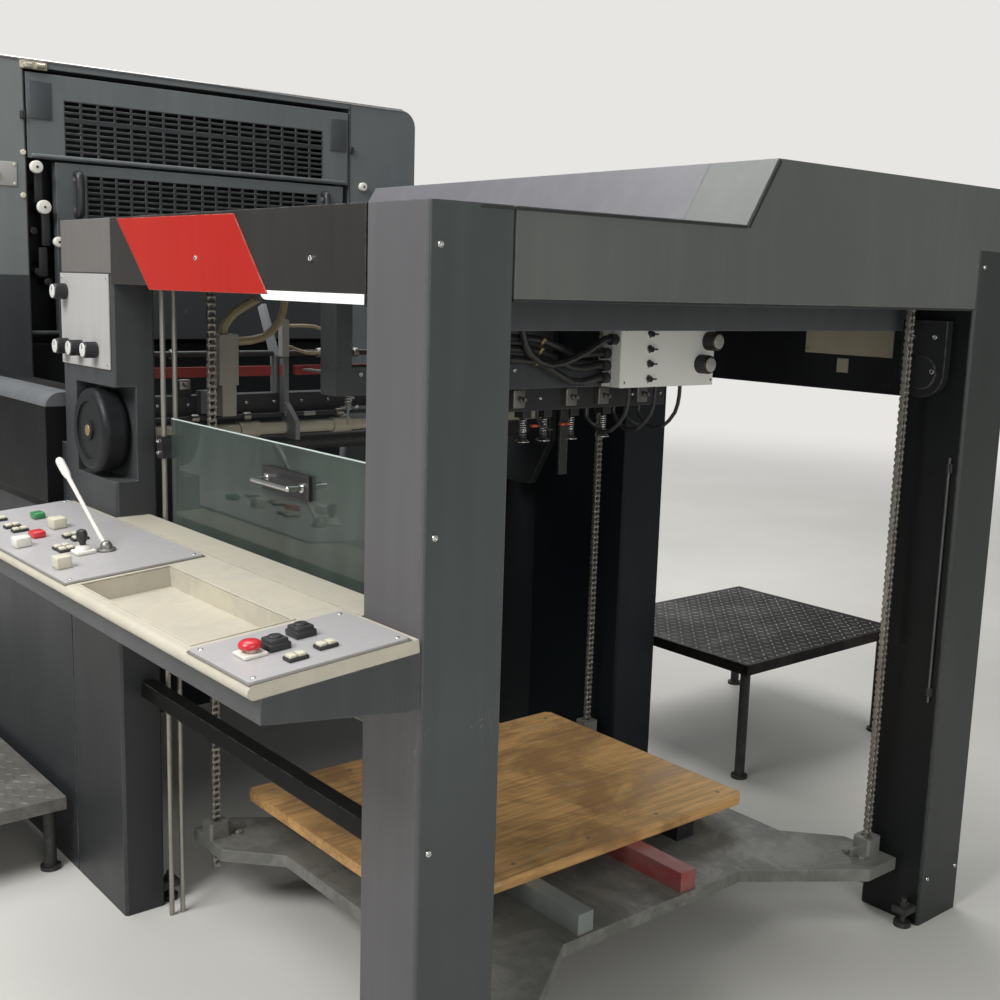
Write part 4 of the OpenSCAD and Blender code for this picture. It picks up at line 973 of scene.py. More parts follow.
class Solid:
    """A mesh under construction: rows of points and the faces between them."""

    def __init__(self) -> None:
        """Starts with no points."""
        self.points: list[np.ndarray] = []
        self.faces: list[tuple[int, ...]] = []
        self.total = 0

    def add(self, points: np.ndarray, faces: list, place: Matrix | None = None) -> None:
        """Adds points and faces.

        Args:
            points: Rows of X, Y and Z in metres.
            faces: Tuples of point numbers, counted from these points' first.
            place: Where the points go, or None to leave them.
        """
        rows = np.asarray(points, float).reshape(-1, 3)
        if place is not None:
            turn = np.array(place.to_3x3())
            rows = rows @ turn.T + np.array(place.translation)
        self.points.append(rows)
        self.faces.extend(tuple(number + self.total for number in face) for face in faces)
        self.total += len(rows)

    def sheet(
        self,
        grid: np.ndarray,
        place: Matrix | None = None,
        closed: bool = False,
        caps: bool = False,
    ) -> None:
        """Adds a grid of points as quads.

        Args:
            grid: Points by row and column, with X, Y and Z last.
            place: Where it goes.
            closed: Whether the last column joins the first.
            caps: Whether the first and last rows are closed by flat faces.
        """
        rows, columns = grid.shape[:2]
        row = np.arange(rows - 1)[:, None] * columns
        here = np.arange(columns if closed else columns - 1)
        there = (here + 1) % columns
        quads = (row + here, row + there, row + columns + there, row + columns + here)
        faces = np.stack(quads, axis=-1).reshape(-1, 4).tolist()
        if caps:
            faces.append(tuple(range(columns - 1, -1, -1)))
            faces.append(tuple((rows - 1) * columns + j for j in range(columns)))
        self.add(grid.reshape(-1, 3), faces, place)

    def turned(self, profile: Sequence[Pair], place: Matrix | None = None, sides: int = 32) -> None:
        """Adds a surface turned about Z.

        Each profile point (r, z) becomes the ring (r cos a, r sin a, z), a going once round.

        Args:
            profile: Radii and heights from the bottom's middle up to the top's.
            place: Where it goes.
            sides: Points in a ring.
        """
        a = np.linspace(0.0, 2.0 * np.pi, sides, endpoint=False)
        rows = np.array(profile, float)
        grid = np.empty((len(rows), sides, 3))
        grid[..., 0] = rows[:, :1] * np.cos(a)
        grid[..., 1] = rows[:, :1] * np.sin(a)
        grid[..., 2] = rows[:, 1:]
        self.sheet(grid, place, closed=True, caps=True)

    def swept(self, path: np.ndarray, radius: object, place: Matrix | None = None, sides: int = 10) -> None:
        """Adds a round tube along a path.

        Around each path point p the ring is p + r (cos a u + sin a v), where u and v square
        with the path and u is the last ring's u less its share along the path.

        Args:
            path: Rows of points.
            radius: One radius, or one for each point.
            place: Where it goes.
            sides: Points in a ring.
        """
        path = np.asarray(path, float)
        radii = np.broadcast_to(np.asarray(radius, float), (len(path),))
        ways = np.gradient(path, axis=0)
        ways /= np.linalg.norm(ways, axis=1)[:, None]
        side = np.cross(ways[0], [0.3, 0.5, 0.81])
        a = np.linspace(0.0, 2.0 * np.pi, sides, endpoint=False)
        grid = np.empty((len(path), sides, 3))
        for i, way in enumerate(ways):
            side = side - way * np.dot(side, way)
            side = side / np.linalg.norm(side)
            other = np.cross(way, side)
            ring = np.outer(np.cos(a), side) + np.outer(np.sin(a), other)
            grid[i] = path[i] + radii[i] * ring
        self.sheet(grid, place, closed=True, caps=True)

    def block(self, size: Triple, radius: float = 0.001, place: Matrix | None = None, steps: int = 3) -> None:
        """Adds a box with round edges, its middle at the origin.

        Each point is the corner of the inner box that its direction n points at, plus the
        radius times n. Directions run over the sphere by latitude and longitude, and both
        sides of each quarter meet in one direction, which makes the flats.

        Args:
            size: The whole size along X, Y and Z.
            radius: The edges' radius.
            place: Where it goes.
            steps: Steps over a quarter of a turn.
        """
        inner = np.maximum(np.array(size) / 2.0 - radius, 0.0)
        quarter = np.linspace(0.0, np.pi / 2.0, steps + 1)
        around = np.concatenate([quarter + k * np.pi / 2.0 for k in range(4)])
        sign_x = np.repeat([1.0, -1.0, -1.0, 1.0], steps + 1)
        sign_y = np.repeat([1.0, 1.0, -1.0, -1.0], steps + 1)
        up = np.concatenate([quarter - np.pi / 2.0, quarter])
        sign_z = np.repeat([-1.0, 1.0], steps + 1)
        grid = np.empty((len(up), len(around), 3))
        grid[..., 0] = sign_x * inner[0] + radius * np.cos(around) * np.cos(up)[:, None]
        grid[..., 1] = sign_y * inner[1] + radius * np.sin(around) * np.cos(up)[:, None]
        grid[..., 2] = (sign_z * inner[2] + radius * np.sin(up))[:, None]
        self.sheet(grid, place, closed=True, caps=True)

    def disc(
        self,
        radius: float,
        height: float,
        place: Matrix | None = None,
        soft: float = 0.0008,
        sides: int = 28,
    ) -> None:
        """Adds a round disc along Z from 0, with its upper rim softened.

        Args:
            radius: The disc's radius.
            height: Its height.
            place: Where it goes.
            soft: Radius of the rim, made of a quarter circle.
            sides: Points in a ring.
        """
        quarter = np.linspace(0.0, np.pi / 2.0, 4)
        rim = [(radius - soft + soft * math.cos(t), height - soft + soft * math.sin(t)) for t in quarter]
        self.turned([(radius, 0.0), *rim], place, sides)

    def screw(self, radius: float, place: Matrix) -> None:
        """Adds a socket head along Z from 0: a low cylinder with a sunk hollow.

        Args:
            radius: The head's radius.
            place: Where it goes.
        """
        h = radius * 0.9
        self.turned(
            [
                (radius, 0.0),
                (radius, h * 0.82),
                (radius * 0.88, h),
                (radius * 0.55, h),
                (radius * 0.5, h * 0.35),
                (0.0001, h * 0.35),
            ],
            place,
            18,
        )

    def helix(self, radius: float, wire: float, turns: float, low: float, high: float, place: Matrix) -> None:
        """Adds a coil spring along Z.

        The wire follows (R cos t, R sin t, low + (high - low) t / T), t going from 0 to T,
        which is the number of turns times a full circle.

        Args:
            radius: R, the coil's mean radius.
            wire: The wire's radius.
            turns: The number of turns.
            low: The lower end's height.
            high: The upper end's height.
            place: Where it goes.
        """
        t = np.linspace(0.0, 2.0 * np.pi * turns, int(turns * 16) + 1)
        path = np.stack([radius * np.cos(t), radius * np.sin(t), low + (high - low) * t / t[-1]], axis=1)
        self.swept(path, wire, place, 7)

    def finish(
        self,
        name: str,
        body: str,
        material: bpy.types.Material,
        crease: float = 38.0,
    ) -> bpy.types.Object:
        """Makes the mesh object with its material, shades it and ties it to its body.

        Args:
            name: The object's name.
            body: The body that it rides on.
            material: Its material.
            crease: The angle in degrees past which an edge stays sharp.

        Returns:
            The object, at the origin.
        """
        mesh = bpy.data.meshes.new(name)
        mesh.from_pydata(np.concatenate(self.points).tolist(), [], self.faces)
        mesh.materials.append(material)
        mesh.shade_smooth()
        mesh.set_sharp_from_angle(angle=math.radians(crease))
        made = bpy.data.objects.new(name, mesh)
        bpy.context.scene.collection.objects.link(made)
        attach(made, body)
        return made


def facing(spot: Triple, way: str = "+Z") -> Matrix:
    """The place at a spot whose own Z looks along an axis.

    Args:
        spot: The place's origin.
        way: The axis that Z turns to, with its sign.

    Returns:
        The place as a matrix.
    """
    axis = Vector([float("XYZ".index(way[1]) == i) for i in range(3)])
    if way[0] == "-":
        axis = -axis
    turn = axis.to_track_quat("Z", "Y" if way[1] != "Y" else "X").to_matrix().to_4x4()
    return Matrix.Translation(spot) @ turn


def spaced(first: float, step: float, count: int) -> tuple[float, ...]:
    """A row of evenly spaced places."""
    return tuple(first + step * number for number in range(count))


def inset_corners(area: Quad, inset: float) -> product:
    """The four places that lie an inset within a rectangle's corners.

    Args:
        area: Its lowest place and its highest.
        inset: How far within they lie.

    Returns:
        The places.
    """
    low_u, low_v, high_u, high_v = area
    return product((low_u + inset, high_u - inset), (low_v + inset, high_v - inset))


def curve(points: Sequence[Triple], steps: int = 8) -> np.ndarray:
    """A smooth path through points.

    Between two points it is the cubic whose slopes at each are half the way from the
    point before to the point after.

    Args:
        points: Rows of points.
        steps: Steps between two points.

    Returns:
        The path's rows.
    """
    p = np.array(points, float)
    padded = np.concatenate([2 * p[:1] - p[1:2], p, 2 * p[-1:] - p[-2:-1]])
    a, b, c, d = (padded[k : len(padded) - 3 + k, None] for k in range(4))
    t = (np.arange(steps) / steps)[:, None]
    square = (2 * a - 5 * b + 4 * c - d) * t**2
    cube = (3 * b - a - 3 * c + d) * t**3
    rows = 0.5 * (2 * b + (c - a) * t + square + cube)
    return np.concatenate([rows.reshape(-1, 3), p[-1:]])


@dataclass(frozen=True)
class Screws:
    """Socket heads that face one way, at every mix of some X, Y and Z."""

    radius: float
    way: str
    xs: tuple[float, ...]
    ys: tuple[float, ...]
    zs: tuple[float, ...]


@dataclass
class Assembly:
    """A group of finer pieces, placed by the press's own corner.

    Attributes:
        finishes: The press's finishes.
        corner: The near post's lowest outer corner, from which places are measured.
        pieces: The pieces made so far.
    """

    finishes: Finishes
    corner: Vector = field(default_factory=lambda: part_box("near_post")[0])
    pieces: list[bpy.types.Object] = field(default_factory=list)

    def at(self, x: float, y: float, z: float) -> Vector:
        """A place in the scene, from metres along the press's own axes."""
        return Vector((self.corner.x + x, self.corner.y + y, z))

    def spot(self, x: float, y: float, z: float) -> Matrix:
        """An unturned place, from metres along the press's own axes."""
        return Matrix.Translation(self.at(x, y, z))

    def face(self, x: float, y: float, z: float, way: str) -> Matrix:
        """A place whose Z looks along an axis."""
        return facing(tuple(self.at(x, y, z)), way)

    def drive(self, solid: Solid, screws: Screws) -> None:
        """Adds a group of screws to a solid."""
        for x, y, z in product(screws.xs, screws.ys, screws.zs):
            solid.screw(screws.radius, self.face(x, y, z, screws.way))

    def make(self, solid: Solid, name: str, body: str, slot: Slot, recipe: object = None) -> bpy.types.Object:
        """Ends a solid with its slot's finish, or with a recipe of its own.

        Args:
            solid: The solid.
            name: The piece's name.
            body: The body that it rides on.
            slot: The record's slot that it belongs to.
            recipe: A finish of its own, or None for the slot's.

        Returns:
            The piece.
        """
        material = self.finishes.made(recipe) if recipe else self.finishes.of(slot)
        piece = solid.finish(name, body, material)
        self.pieces.append(piece)
        return piece


class KeyColour(Enum):
    """The colours of the desk's keys, in the order in which they are made."""

    BLACK = "black"
    CREAM = "cream"
    RED = "red"
    GREEN = "green"
    WHITE = "white"


@dataclass(frozen=True)
class Key:
    """One block key: its colour, its place on the desk, its size and its edges' radius."""

    colour: KeyColour
    spot: Pair
    size: Triple
    soft: float = 0.004


@dataclass
class Desk(Assembly):
    """The control desk's keys, knobs, wand, screws and seams.

    A place on the desk is metres in from the frame's face, less than 0 outwards, and metres
    along the press. An area is its lowest place and its highest: the near plate lies at the
    open end, the far plate at the column.

    Attributes:
        slope: The slab's slope, in radians.
        stop: Place of the red mushroom button.
        wand_lean: How far the wand leans from the slab's own upright, in radians.
        wand_outline: Lengths up the wand, and its radius there.
        seam_line: Width of the gasket round a control plate.
        rim_line: Width of the lip round the tray.
        strip_height: Height of the gasket and of the lip.
        screw_inset: How far a plate's screws lie inside its corners.
    """

    height: float = 0.982
    slope: float = math.radians(4.4)
    plate: float = 0.005
    near_plate: Quad = (-0.294, 0.004, -0.016, 0.199)
    far_plate: Quad = (-0.294, 0.710, -0.016, 1.436)
    tray: Quad = (-0.275, 0.225, -0.095, 0.695)
    stop: Pair = (-0.236, 0.108)
    stop_cap: Profile = (
        (0.004, 0.012), (0.0165, 0.012), (0.0178, 0.014), (0.0178, 0.018), (0.0165, 0.021),
        (0.012, 0.0235), (0.005, 0.0245),
    )
    stick: Pair = (-0.186, 0.899)
    stick_boot: Profile = ((0.018, 0.007), (0.016, 0.012), (0.012, 0.016), (0.004, 0.018))
    stick_knob: Profile = (
        (0.006, 0.014), (0.0065, 0.022), (0.0105, 0.030), (0.0115, 0.040), (0.009, 0.047),
        (0.003, 0.050),
    )
    square_keys: tuple[Pair, ...] = ((-0.192, 0.111), (-0.132, 0.136))
    square_width: float = 0.037
    square_height: float = 0.022
    pair_places: tuple[Pair, ...] = (
        (-0.195, 0.044), (-0.134, 0.059), (-0.205, 0.942), (-0.205, 0.968), (-0.149, 1.015),
        (-0.153, 1.054), (-0.215, 1.190), (-0.215, 1.240), (-0.215, 1.330),
    )
    keys: tuple[Key, ...] = (
        Key(KeyColour.RED, (-0.205, 1.110), (0.028, 0.034, 0.014)),
        Key(KeyColour.GREEN, (-0.140, 1.292), (0.026, 0.034, 0.014)),
        Key(KeyColour.WHITE, (-0.258, 1.050), (0.034, 0.030, 0.022)),
        Key(KeyColour.CREAM, (-0.142, 1.162), (0.032, 0.036, 0.024)),
        Key(KeyColour.CREAM, (-0.258, 0.821), (0.030, 0.030, 0.024), 0.003),
    )
    wand_foot: Pair = (-0.144, 0.884)
    wand_lean: float = math.radians(55.0)
    wand_outline: tuple[Pair, ...] = (
        (0.0, 0.0060), (0.02, 0.0048), (0.10, 0.0042), (0.17, 0.0045), (0.210, 0.0052),
        (0.218, 0.0078), (0.226, 0.0088), (0.254, 0.0092), (0.264, 0.0086), (0.269, 0.0064),
        (0.272, 0.0022),
    )
    seam_line: float = 0.0022
    rim_line: float = 0.004
    strip_height: float = 0.003
    screw: Profile = ((0.0042, 0.0), (0.0040, 0.0009), (0.0030, 0.0016), (0.0008, 0.0019))
    screw_inset: float = 0.014

    def on(self, x: float, y: float, z: float = 0.0) -> Matrix:
        """A place on the sloping desk.

        Args:
            x: Metres in from the frame's face, less than 0 outwards.
            y: Metres along the press.
            z: Metres above the slab.

        Returns:
            The place as a matrix.
        """
        tilt = Matrix.Rotation(-self.slope, 4, "Y")
        return self.spot(0.0, 0.0, self.height) @ tilt @ Matrix.Translation((x, y, z))

    def key_pair(self, bezel: Solid, keys: Solid, x: float, y: float) -> None:
        """Two keys side by side in a dark bezel.

        Args:
            bezel: The solid that takes the bezel.
            keys: The solid that takes the keys.
            x: The pair's place in from the frame's face.
            y: Its place along the press.
        """
        bezel.block((0.034, 0.022, 0.006), 0.0014, self.on(x, y, self.plate + 0.003))
        for side in (-1.0, 1.0):
            keys.block((0.0125, 0.0165, 0.010), 0.0016, self.on(x + side * 0.008, y, self.plate + 0.005))

    def square_key(self, solid: Solid, x: float, y: float) -> None:
        """A square key that steps in to a domed cap.

        Args:
            solid: The solid that takes it.
            x: Its place in from the frame's face.
            y: Its place along the press.
        """
        wide, tall = self.square_width, self.square_height
        solid.block((wide, wide, tall * 0.5), 0.002, self.on(x, y, self.plate + tall * 0.25))
        cap = (wide - 0.005, wide - 0.005, tall * 0.4)
        solid.block(cap, 0.003, self.on(x, y, self.plate + tall * 0.6))
        solid.disc(wide * 0.30, 0.003, self.on(x, y, self.plate + tall * 0.8), 0.0015)

    def stop_button(self, base: Solid, cap: Solid) -> None:
        """The mushroom button on its base.

        Args:
            base: The solid that takes the base and stem.
            cap: The solid that takes the cap.
        """
        foot = self.on(*self.stop, self.plate)
        base.block((0.040, 0.040, 0.006), 0.002, self.on(*self.stop, self.plate + 0.003))
        base.disc(0.0085, 0.014, foot)
        cap.turned(self.stop_cap, foot)

    def joystick(self, base: Solid, knob: Solid) -> None:
        """The joystick's base and boot, and its knob.

        Args:
            base: The solid that takes the base and boot.
            knob: The solid that takes the knob.
        """
        foot = self.on(*self.stick, self.plate)
        base.block((0.040, 0.040, 0.008), 0.003, self.on(*self.stick, self.plate + 0.004))
        base.turned(self.stick_boot, foot)
        knob.turned(self.stick_knob, foot)

    def controls(self) -> None:
        """Keys, button and joystick in their own colours, for the plain CAD ones."""
        solids = {colour: Solid() for colour in KeyColour}
        black, cream, white = (solids[c] for c in (KeyColour.BLACK, KeyColour.CREAM, KeyColour.WHITE))
        self.stop_button(white, solids[KeyColour.RED])
        for x, y in self.square_keys:
            self.square_key(black, x, y)
        for x, y in self.pair_places:
            self.key_pair(black, cream, x, y)
        for key in self.keys:
            middle = self.plate + key.size[2] / 2
            solids[key.colour].block(key.size, key.soft, self.on(*key.spot, middle))
        self.joystick(white, black)
        made = self.make(black, "desk_keys_black", "press", Slot.BUTTON)
        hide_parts("desk_buttons")
        self.make(cream, "desk_keys_cream", "press", Slot.BUTTON, AGED_CREAM)
        self.make(solids[KeyColour.RED], "desk_keys_red", "press", Slot.BUTTON, SIGNAL_RED)
        self.make(solids[KeyColour.GREEN], "desk_keys_green", "press", Slot.BUTTON, SIGNAL_GREEN)
        self.make(white, "desk_keys_white", "press", Slot.WHITE)

    def wand(self) -> None:
        """The wand as one tapering stem with a thick grip, and its round foot."""
        lengths, radii = np.array(self.wand_outline).T
        start = np.array([*self.wand_foot, self.plate + 0.006])
        way = np.array([0.0, math.sin(self.wand_lean), math.cos(self.wand_lean)])
        stem = Solid()
        stem.swept(start + lengths[:, None] * way, radii, self.on(0.0, 0.0), 16)
        made = self.make(stem, "desk_wand_stem", "press", Slot.WHITE)
        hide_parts("desk_wand")
        foot = Solid()
        place = self.on(*self.wand_foot, self.plate)
        foot.disc(0.0185, 0.005, place, 0.0015)
        foot.turned([(0.0125, 0.004), (0.012, 0.012), (0.009, 0.018), (0.006, 0.020)], place)
        self.make(foot, "desk_wand_foot", "press", Slot.CHROME, WAND_STEEL)

    def border(self, solid: Solid, area: Quad, line: float, out: float, soft: float, lift: float) -> None:
        """Four strips round an area of the desk.

        Args:
            solid: The solid that takes them.
            area: The area.
            line: The strips' width.
            out: How far their middles lie outside the area.
            soft: Radius of their edges.
            lift: Height of their middles over the slab.
        """
        x0, y0, x1, y1 = area
        x, y = (x0 + x1) / 2, (y0 + y1) / 2
        across = (x1 - x0 + 2 * line, line, self.strip_height)
        along = (line, y1 - y0, self.strip_height)
        for place, size in (
            ((x, y0 - out), across),
            ((x, y1 + out), across),
            ((x0 - out, y), along),
            ((x1 + out, y), along),
        ):
            solid.block(size, soft, self.on(*place, lift))

    def seams(self) -> None:
        """Pale gaskets round the control plates, and the plates' screws."""
        seam, screws = Solid(), Solid()
        for area in (self.near_plate, self.far_plate):
            self.border(seam, area, self.seam_line, self.seam_line / 2, 0.0006, 0.0012)
            for x, y in inset_corners(area, self.screw_inset):
                screws.turned(self.screw, self.on(x, y, self.plate), 16)
        self.make(seam, "desk_seams", "press", Slot.LAMINATE, PUTTY)
        self.make(screws, "desk_screws", "press", Slot.CHROME)

    def tray_rim(self) -> None:
        """A thin folded lip round the tray's opening."""
        rim = Solid()
        self.border(rim, self.tray, self.rim_line, 0.0, 0.0013, 0.0008)
        self.make(rim, "desk_tray_rim", "press", Slot.LAMINATE)

    def build(self) -> None:
        """Adds the desk's pieces."""
        self.controls()
        self.wand()
        self.seams()
        self.tray_rim()


@dataclass
class Column(Assembly):
    """The operator column's panel, knobs and handwheel.

    Attributes:
        knobs: Each knob's place along the press and its height.
        cap_x: Where a cap stands on its knob.
        mark_x: Where the middle of a knob's mark lies.
        mark_rise: How far it lies over the knob's middle.
        wheel: The handwheel's place along the press and its height.
        hub_x: Where the wheel's centre plate stands.
        screw_inset: How far the panel's screws lie inside its corners.
        seam: Width of the dark seam round the panel.
    """

    knobs: tuple[Pair, ...] = ((1.447, 1.485), (1.442, 1.357), (1.357, 1.357), (1.269, 1.357))
    cap_radius: float = 0.0158
    cap_height: float = 0.0016
    cap_x: float = -0.0352
    mark: Triple = (0.0016, 0.0022, 0.011)
    mark_x: float = -0.0368
    mark_rise: float = 0.0072
    wheel: Pair = (1.300, 1.170)
    hub_x: float = -0.0161
    screw: Profile = ((0.0036, 0.0), (0.0034, 0.001), (0.002, 0.0018))
    screw_inset: float = 0.010
    seam: float = 0.0025

    def knob_caps(self) -> None:
        """A pale cap and a dark mark on each knob."""
        for number, (y, z) in enumerate(self.knobs, 1):
            body = f"column_knob_{number}"
            cap, mark = Solid(), Solid()
            cap.disc(self.cap_radius, self.cap_height, self.face(self.cap_x, y, z, "-X"), 0.0007)
            self.make(cap, f"{body}_cap", body, Slot.BLACK, KNOB_CAP)
            mark.block(self.mark, 0.0006, self.spot(self.mark_x, y, z + self.mark_rise))
            self.make(mark, f"{body}_mark", body, Slot.BLACK)

    def hub(self) -> None:
        """The brass plate at the handwheel's centre."""
        plate = Solid()
        plate.disc(0.013, 0.0022, self.face(self.hub_x, *self.wheel, "-X"), 0.001)
        self.make(plate, "handwheel_hub", "handwheel", Slot.BLACK, AGED_BRASS)

    def panel(self) -> None:
        """The panel's screws, and the seam where it meets the column."""
        low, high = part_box("column_panel")
        screws, seam = Solid(), Solid()
        for y, z in inset_corners((low.y, low.z, high.y, high.z), self.screw_inset):
            screws.turned(self.screw, facing((low.x, y, z), "-X"), 16)
        self.make(screws, "column_panel_screws", "press", Slot.CHROME)
        for y0, z0, y1, z1 in (
            (low.y, low.z, high.y, low.z),
            (low.y, high.z, high.y, high.z),
            (low.y, low.z, low.y, high.z),
            (high.y, low.z, high.y, high.z),
        ):
            size = (0.0016, abs(y1 - y0) + self.seam, abs(z1 - z0) + self.seam)
            middle = (high.x - 0.0007, (y0 + y1) / 2, (z0 + z1) / 2)
            seam.block(size, 0.0006, Matrix.Translation(middle))
        self.make(seam, "column_panel_seam", "press", Slot.BLACK)

    def build(self) -> None:
        """Adds the column's pieces."""
        self.knob_caps()
        self.hub()
        self.panel()


@dataclass
class Station(Assembly):
    """Screws, seams and trims of the pile station's frame.

    Attributes:
        rod: The slender rod's place across and along the press.
        beam_joint: The dark joint under the end beam, and its middle.
        ramp: The roof's ramp, by its foot and its top in X and Z.
        roof_joint: The dark joint under the lower roof, and its middle.
        clamp_drop: How far below the pane's top the screws of its clamps lie.
    """

    screw_groups: tuple[Screws, ...] = (
        Screws(0.0055, "-Y", (0.022,), (0.0,), (0.10, 0.62, 1.14, 1.585)),
        Screws(0.005, "-Y", (1.552, 1.676), (0.0,), (0.12, 1.60)),
        Screws(0.005, "-X", (0.0,), (0.330, 0.760), (1.563,)),
        Screws(0.006, "-X", (1.508,), (0.078, 0.137), (1.440, 1.360)),
        Screws(0.006, "+X", (0.192,), (0.078, 0.137), (1.440, 1.360)),
        Screws(0.0035, "-X", (1.598,), (0.255, 0.497), (1.390, 1.463)),
    )
    rod: Pair = (1.524, 0.024)
    rod_ends: Pair = (1.165, 0.572)
    clip_heights: Pair = (1.140, 0.598)
    beam_joint: tuple[Triple, Triple] = ((1.360, 0.006, 0.005), (0.850, 0.004, 1.5048))
    ramp: tuple[Pair, Pair] = ((0.720, 1.650), (0.800, 1.775))
    roof_joint: tuple[Triple, Triple] = ((0.622, 0.003, 0.005), (0.410, -0.0006, 1.646))
    clamp_drop: Pair = (0.078, 0.052)

    def screws(self) -> None:
        """Screw heads on the posts, beams, plates and brackets."""
        heads = Solid()
        for group in self.screw_groups:
            self.drive(heads, group)
        self.make(heads, "station_screws", "press", Slot.CHROME)

    def post_rod(self) -> None:
        """A slender rod in two clips on the right post's inner face."""
        rod, clips = Solid(), Solid()
        x, y = self.rod
        rod.swept(np.array([self.at(x, y, z) for z in self.rod_ends]), 0.0035, None, 12)
        for z in self.clip_heights:
            clips.block((0.010, 0.016, 0.022), 0.0015, self.spot(x + 0.002, y, z))
        self.make(rod, "post_rod", "press", Slot.CHROME, ROD_STEEL)
        self.make(clips, "post_rod_clips", "press", Slot.BLACK)

    def trims(self) -> None:
        """The dark joints under the end beam, along the roof's ramp and under the lower roof."""
        joint = Solid()
        size, middle = self.beam_joint
        joint.block(size, 0.001, self.spot(*middle))
        foot, top = np.array(self.ramp)
        run, rise = top - foot
        turn = Matrix.Rotation(-math.atan2(rise, run), 4, "Y")
        x, z = (foot + top) / 2.0
        place = self.spot(x + 0.006, -0.0006, z - 0.004) @ turn
        joint.block((math.hypot(run, rise), 0.003, 0.007), 0.0008, place)
        size, middle = self.roof_joint
        joint.block(size, 0.0008, self.spot(*middle))
        self.make(joint, "station_joints", "press", Slot.BLACK)

    def glass_edge(self) -> None:
        """A ground edge along the pane's top, and the screws of the clamps at its ends."""
        low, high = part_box("glass_pane")
        edge, screws = Solid(), Solid()
        size = (high.x - low.x + 0.0006, high.y - low.y, 0.0018)
        middle = ((low.x + high.x) / 2, (low.y + high.y) / 2, high.z + 0.0004)
        edge.block(size, 0.0008, Matrix.Translation(middle))
        self.make(edge, "glass_pane_edge", "glass_guard", Slot.GLASS, GROUND_EDGE)
        for y, drop in product((low.y - 0.018, high.y + 0.018), self.clamp_drop):
            screws.screw(0.0045, facing((low.x - 0.0232, y, high.z - drop), "-X"))
        self.make(screws, "guard_handle_screws", "glass_guard", Slot.CHROME)

    def lamp_ends(self) -> None:
        """Grey sockets at the lamp's two ends, over a lit tube."""
        low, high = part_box("strip_lamp")
        ends = Solid()
        for y in (low.y + 0.010, high.y - 0.010):
            ends.block((0.036, 0.022, 0.028), 0.003, Matrix.Translation((high.x - 0.017, y, low.z + 0.011)))
        self.make(ends, "strip_lamp_ends", "press", Slot.INNER)

    def build(self) -> None:
        """Adds the frame's pieces."""
        self.screws()
        self.post_rod()
        self.trims()
        self.glass_edge()
        self.lamp_ends()


@dataclass
class Lift(Assembly):
    """Chain pins, and the platform's and board's fastenings.

    Attributes:
        places: Each chain's place across and along the press.
        middle: The press's middle across, to which the guide blocks turn.
        top_pin: How far the first pin lies under the chains' top.
        pin_out: How far a pin's end stands from the chain's middle.
        end_out: The same for the first pin and the last.
        board_inset: How far the board's screws lie inside its ends and its sides.
    """

    pitch: float = 0.015875
    pins: int = 90
    places: tuple[Pair, ...] = ((0.220, 0.129), (1.480, 0.129), (0.220, 1.145), (1.480, 1.145))
    middle: float = 0.85
    top_pin: float = 0.00725
    pin_out: float = 0.0098
    end_out: float = 0.0074
    pin: Profile = ((0.0024, 0.0), (0.0022, 0.0008), (0.0012, 0.0011))
    bolt: Profile = ((0.0095, 0.0), (0.0095, 0.006), (0.008, 0.0075), (0.003, 0.0075))
    board_screw: Profile = ((0.0062, 0.0), (0.0058, 0.0006), (0.0022, 0.0003))
    board_inset: Pair = (0.05, 0.045)

    def chain_pins(self) -> None:
        """The riveted ends of every chain pin."""
        ends = Solid()
        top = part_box("lift_chains")[1].z - self.top_pin
        for (x, y), number in product(self.places, range(self.pins)):
            out = self.end_out if number in (0, self.pins - 1) else self.pin_out
            z = top - number * self.pitch
            ends.turned(self.pin, self.face(x - out, y, z, "-X"), 8)
            ends.turned(self.pin, self.face(x + out, y, z, "+X"), 8)
        self.make(ends, "chain_pins", "press", Slot.CHAIN, PIN_STEEL)

    def board_screws(self) -> None:
        """Countersunk screws near the board's edges."""
        low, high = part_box("pile_board")
        end, side = self.board_inset
        heads = Solid()
        for x in np.linspace(low.x + end, high.x - end, 5):
            for y in (low.y + side, high.y - side):
                heads.turned(self.board_screw, facing((float(x), y, high.z - 0.0002), "+Z"), 14)
        self.make(heads, "board_screws", "pile_platform", Slot.PLATFORM)

    def platform_bolts(self) -> None:
        """Two bolts on each ear of the platform, inward of its chain."""
        heads = Solid()
        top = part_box("pile_board")[0].z - 0.048
        for x, y in self.places:
            inward = 1.0 if x < self.middle else -1.0
            for side in (-1.0, 1.0):
                heads.turned(self.bolt, self.face(x + inward * 0.050, y + side * 0.022, top, "+Z"), 6)
        self.make(heads, "platform_bolts", "pile_platform", Slot.PLATFORM)

    def build(self) -> None:
        """Adds the lift's pieces."""
        self.chain_pins()
        self.board_screws()
        self.platform_bolts()


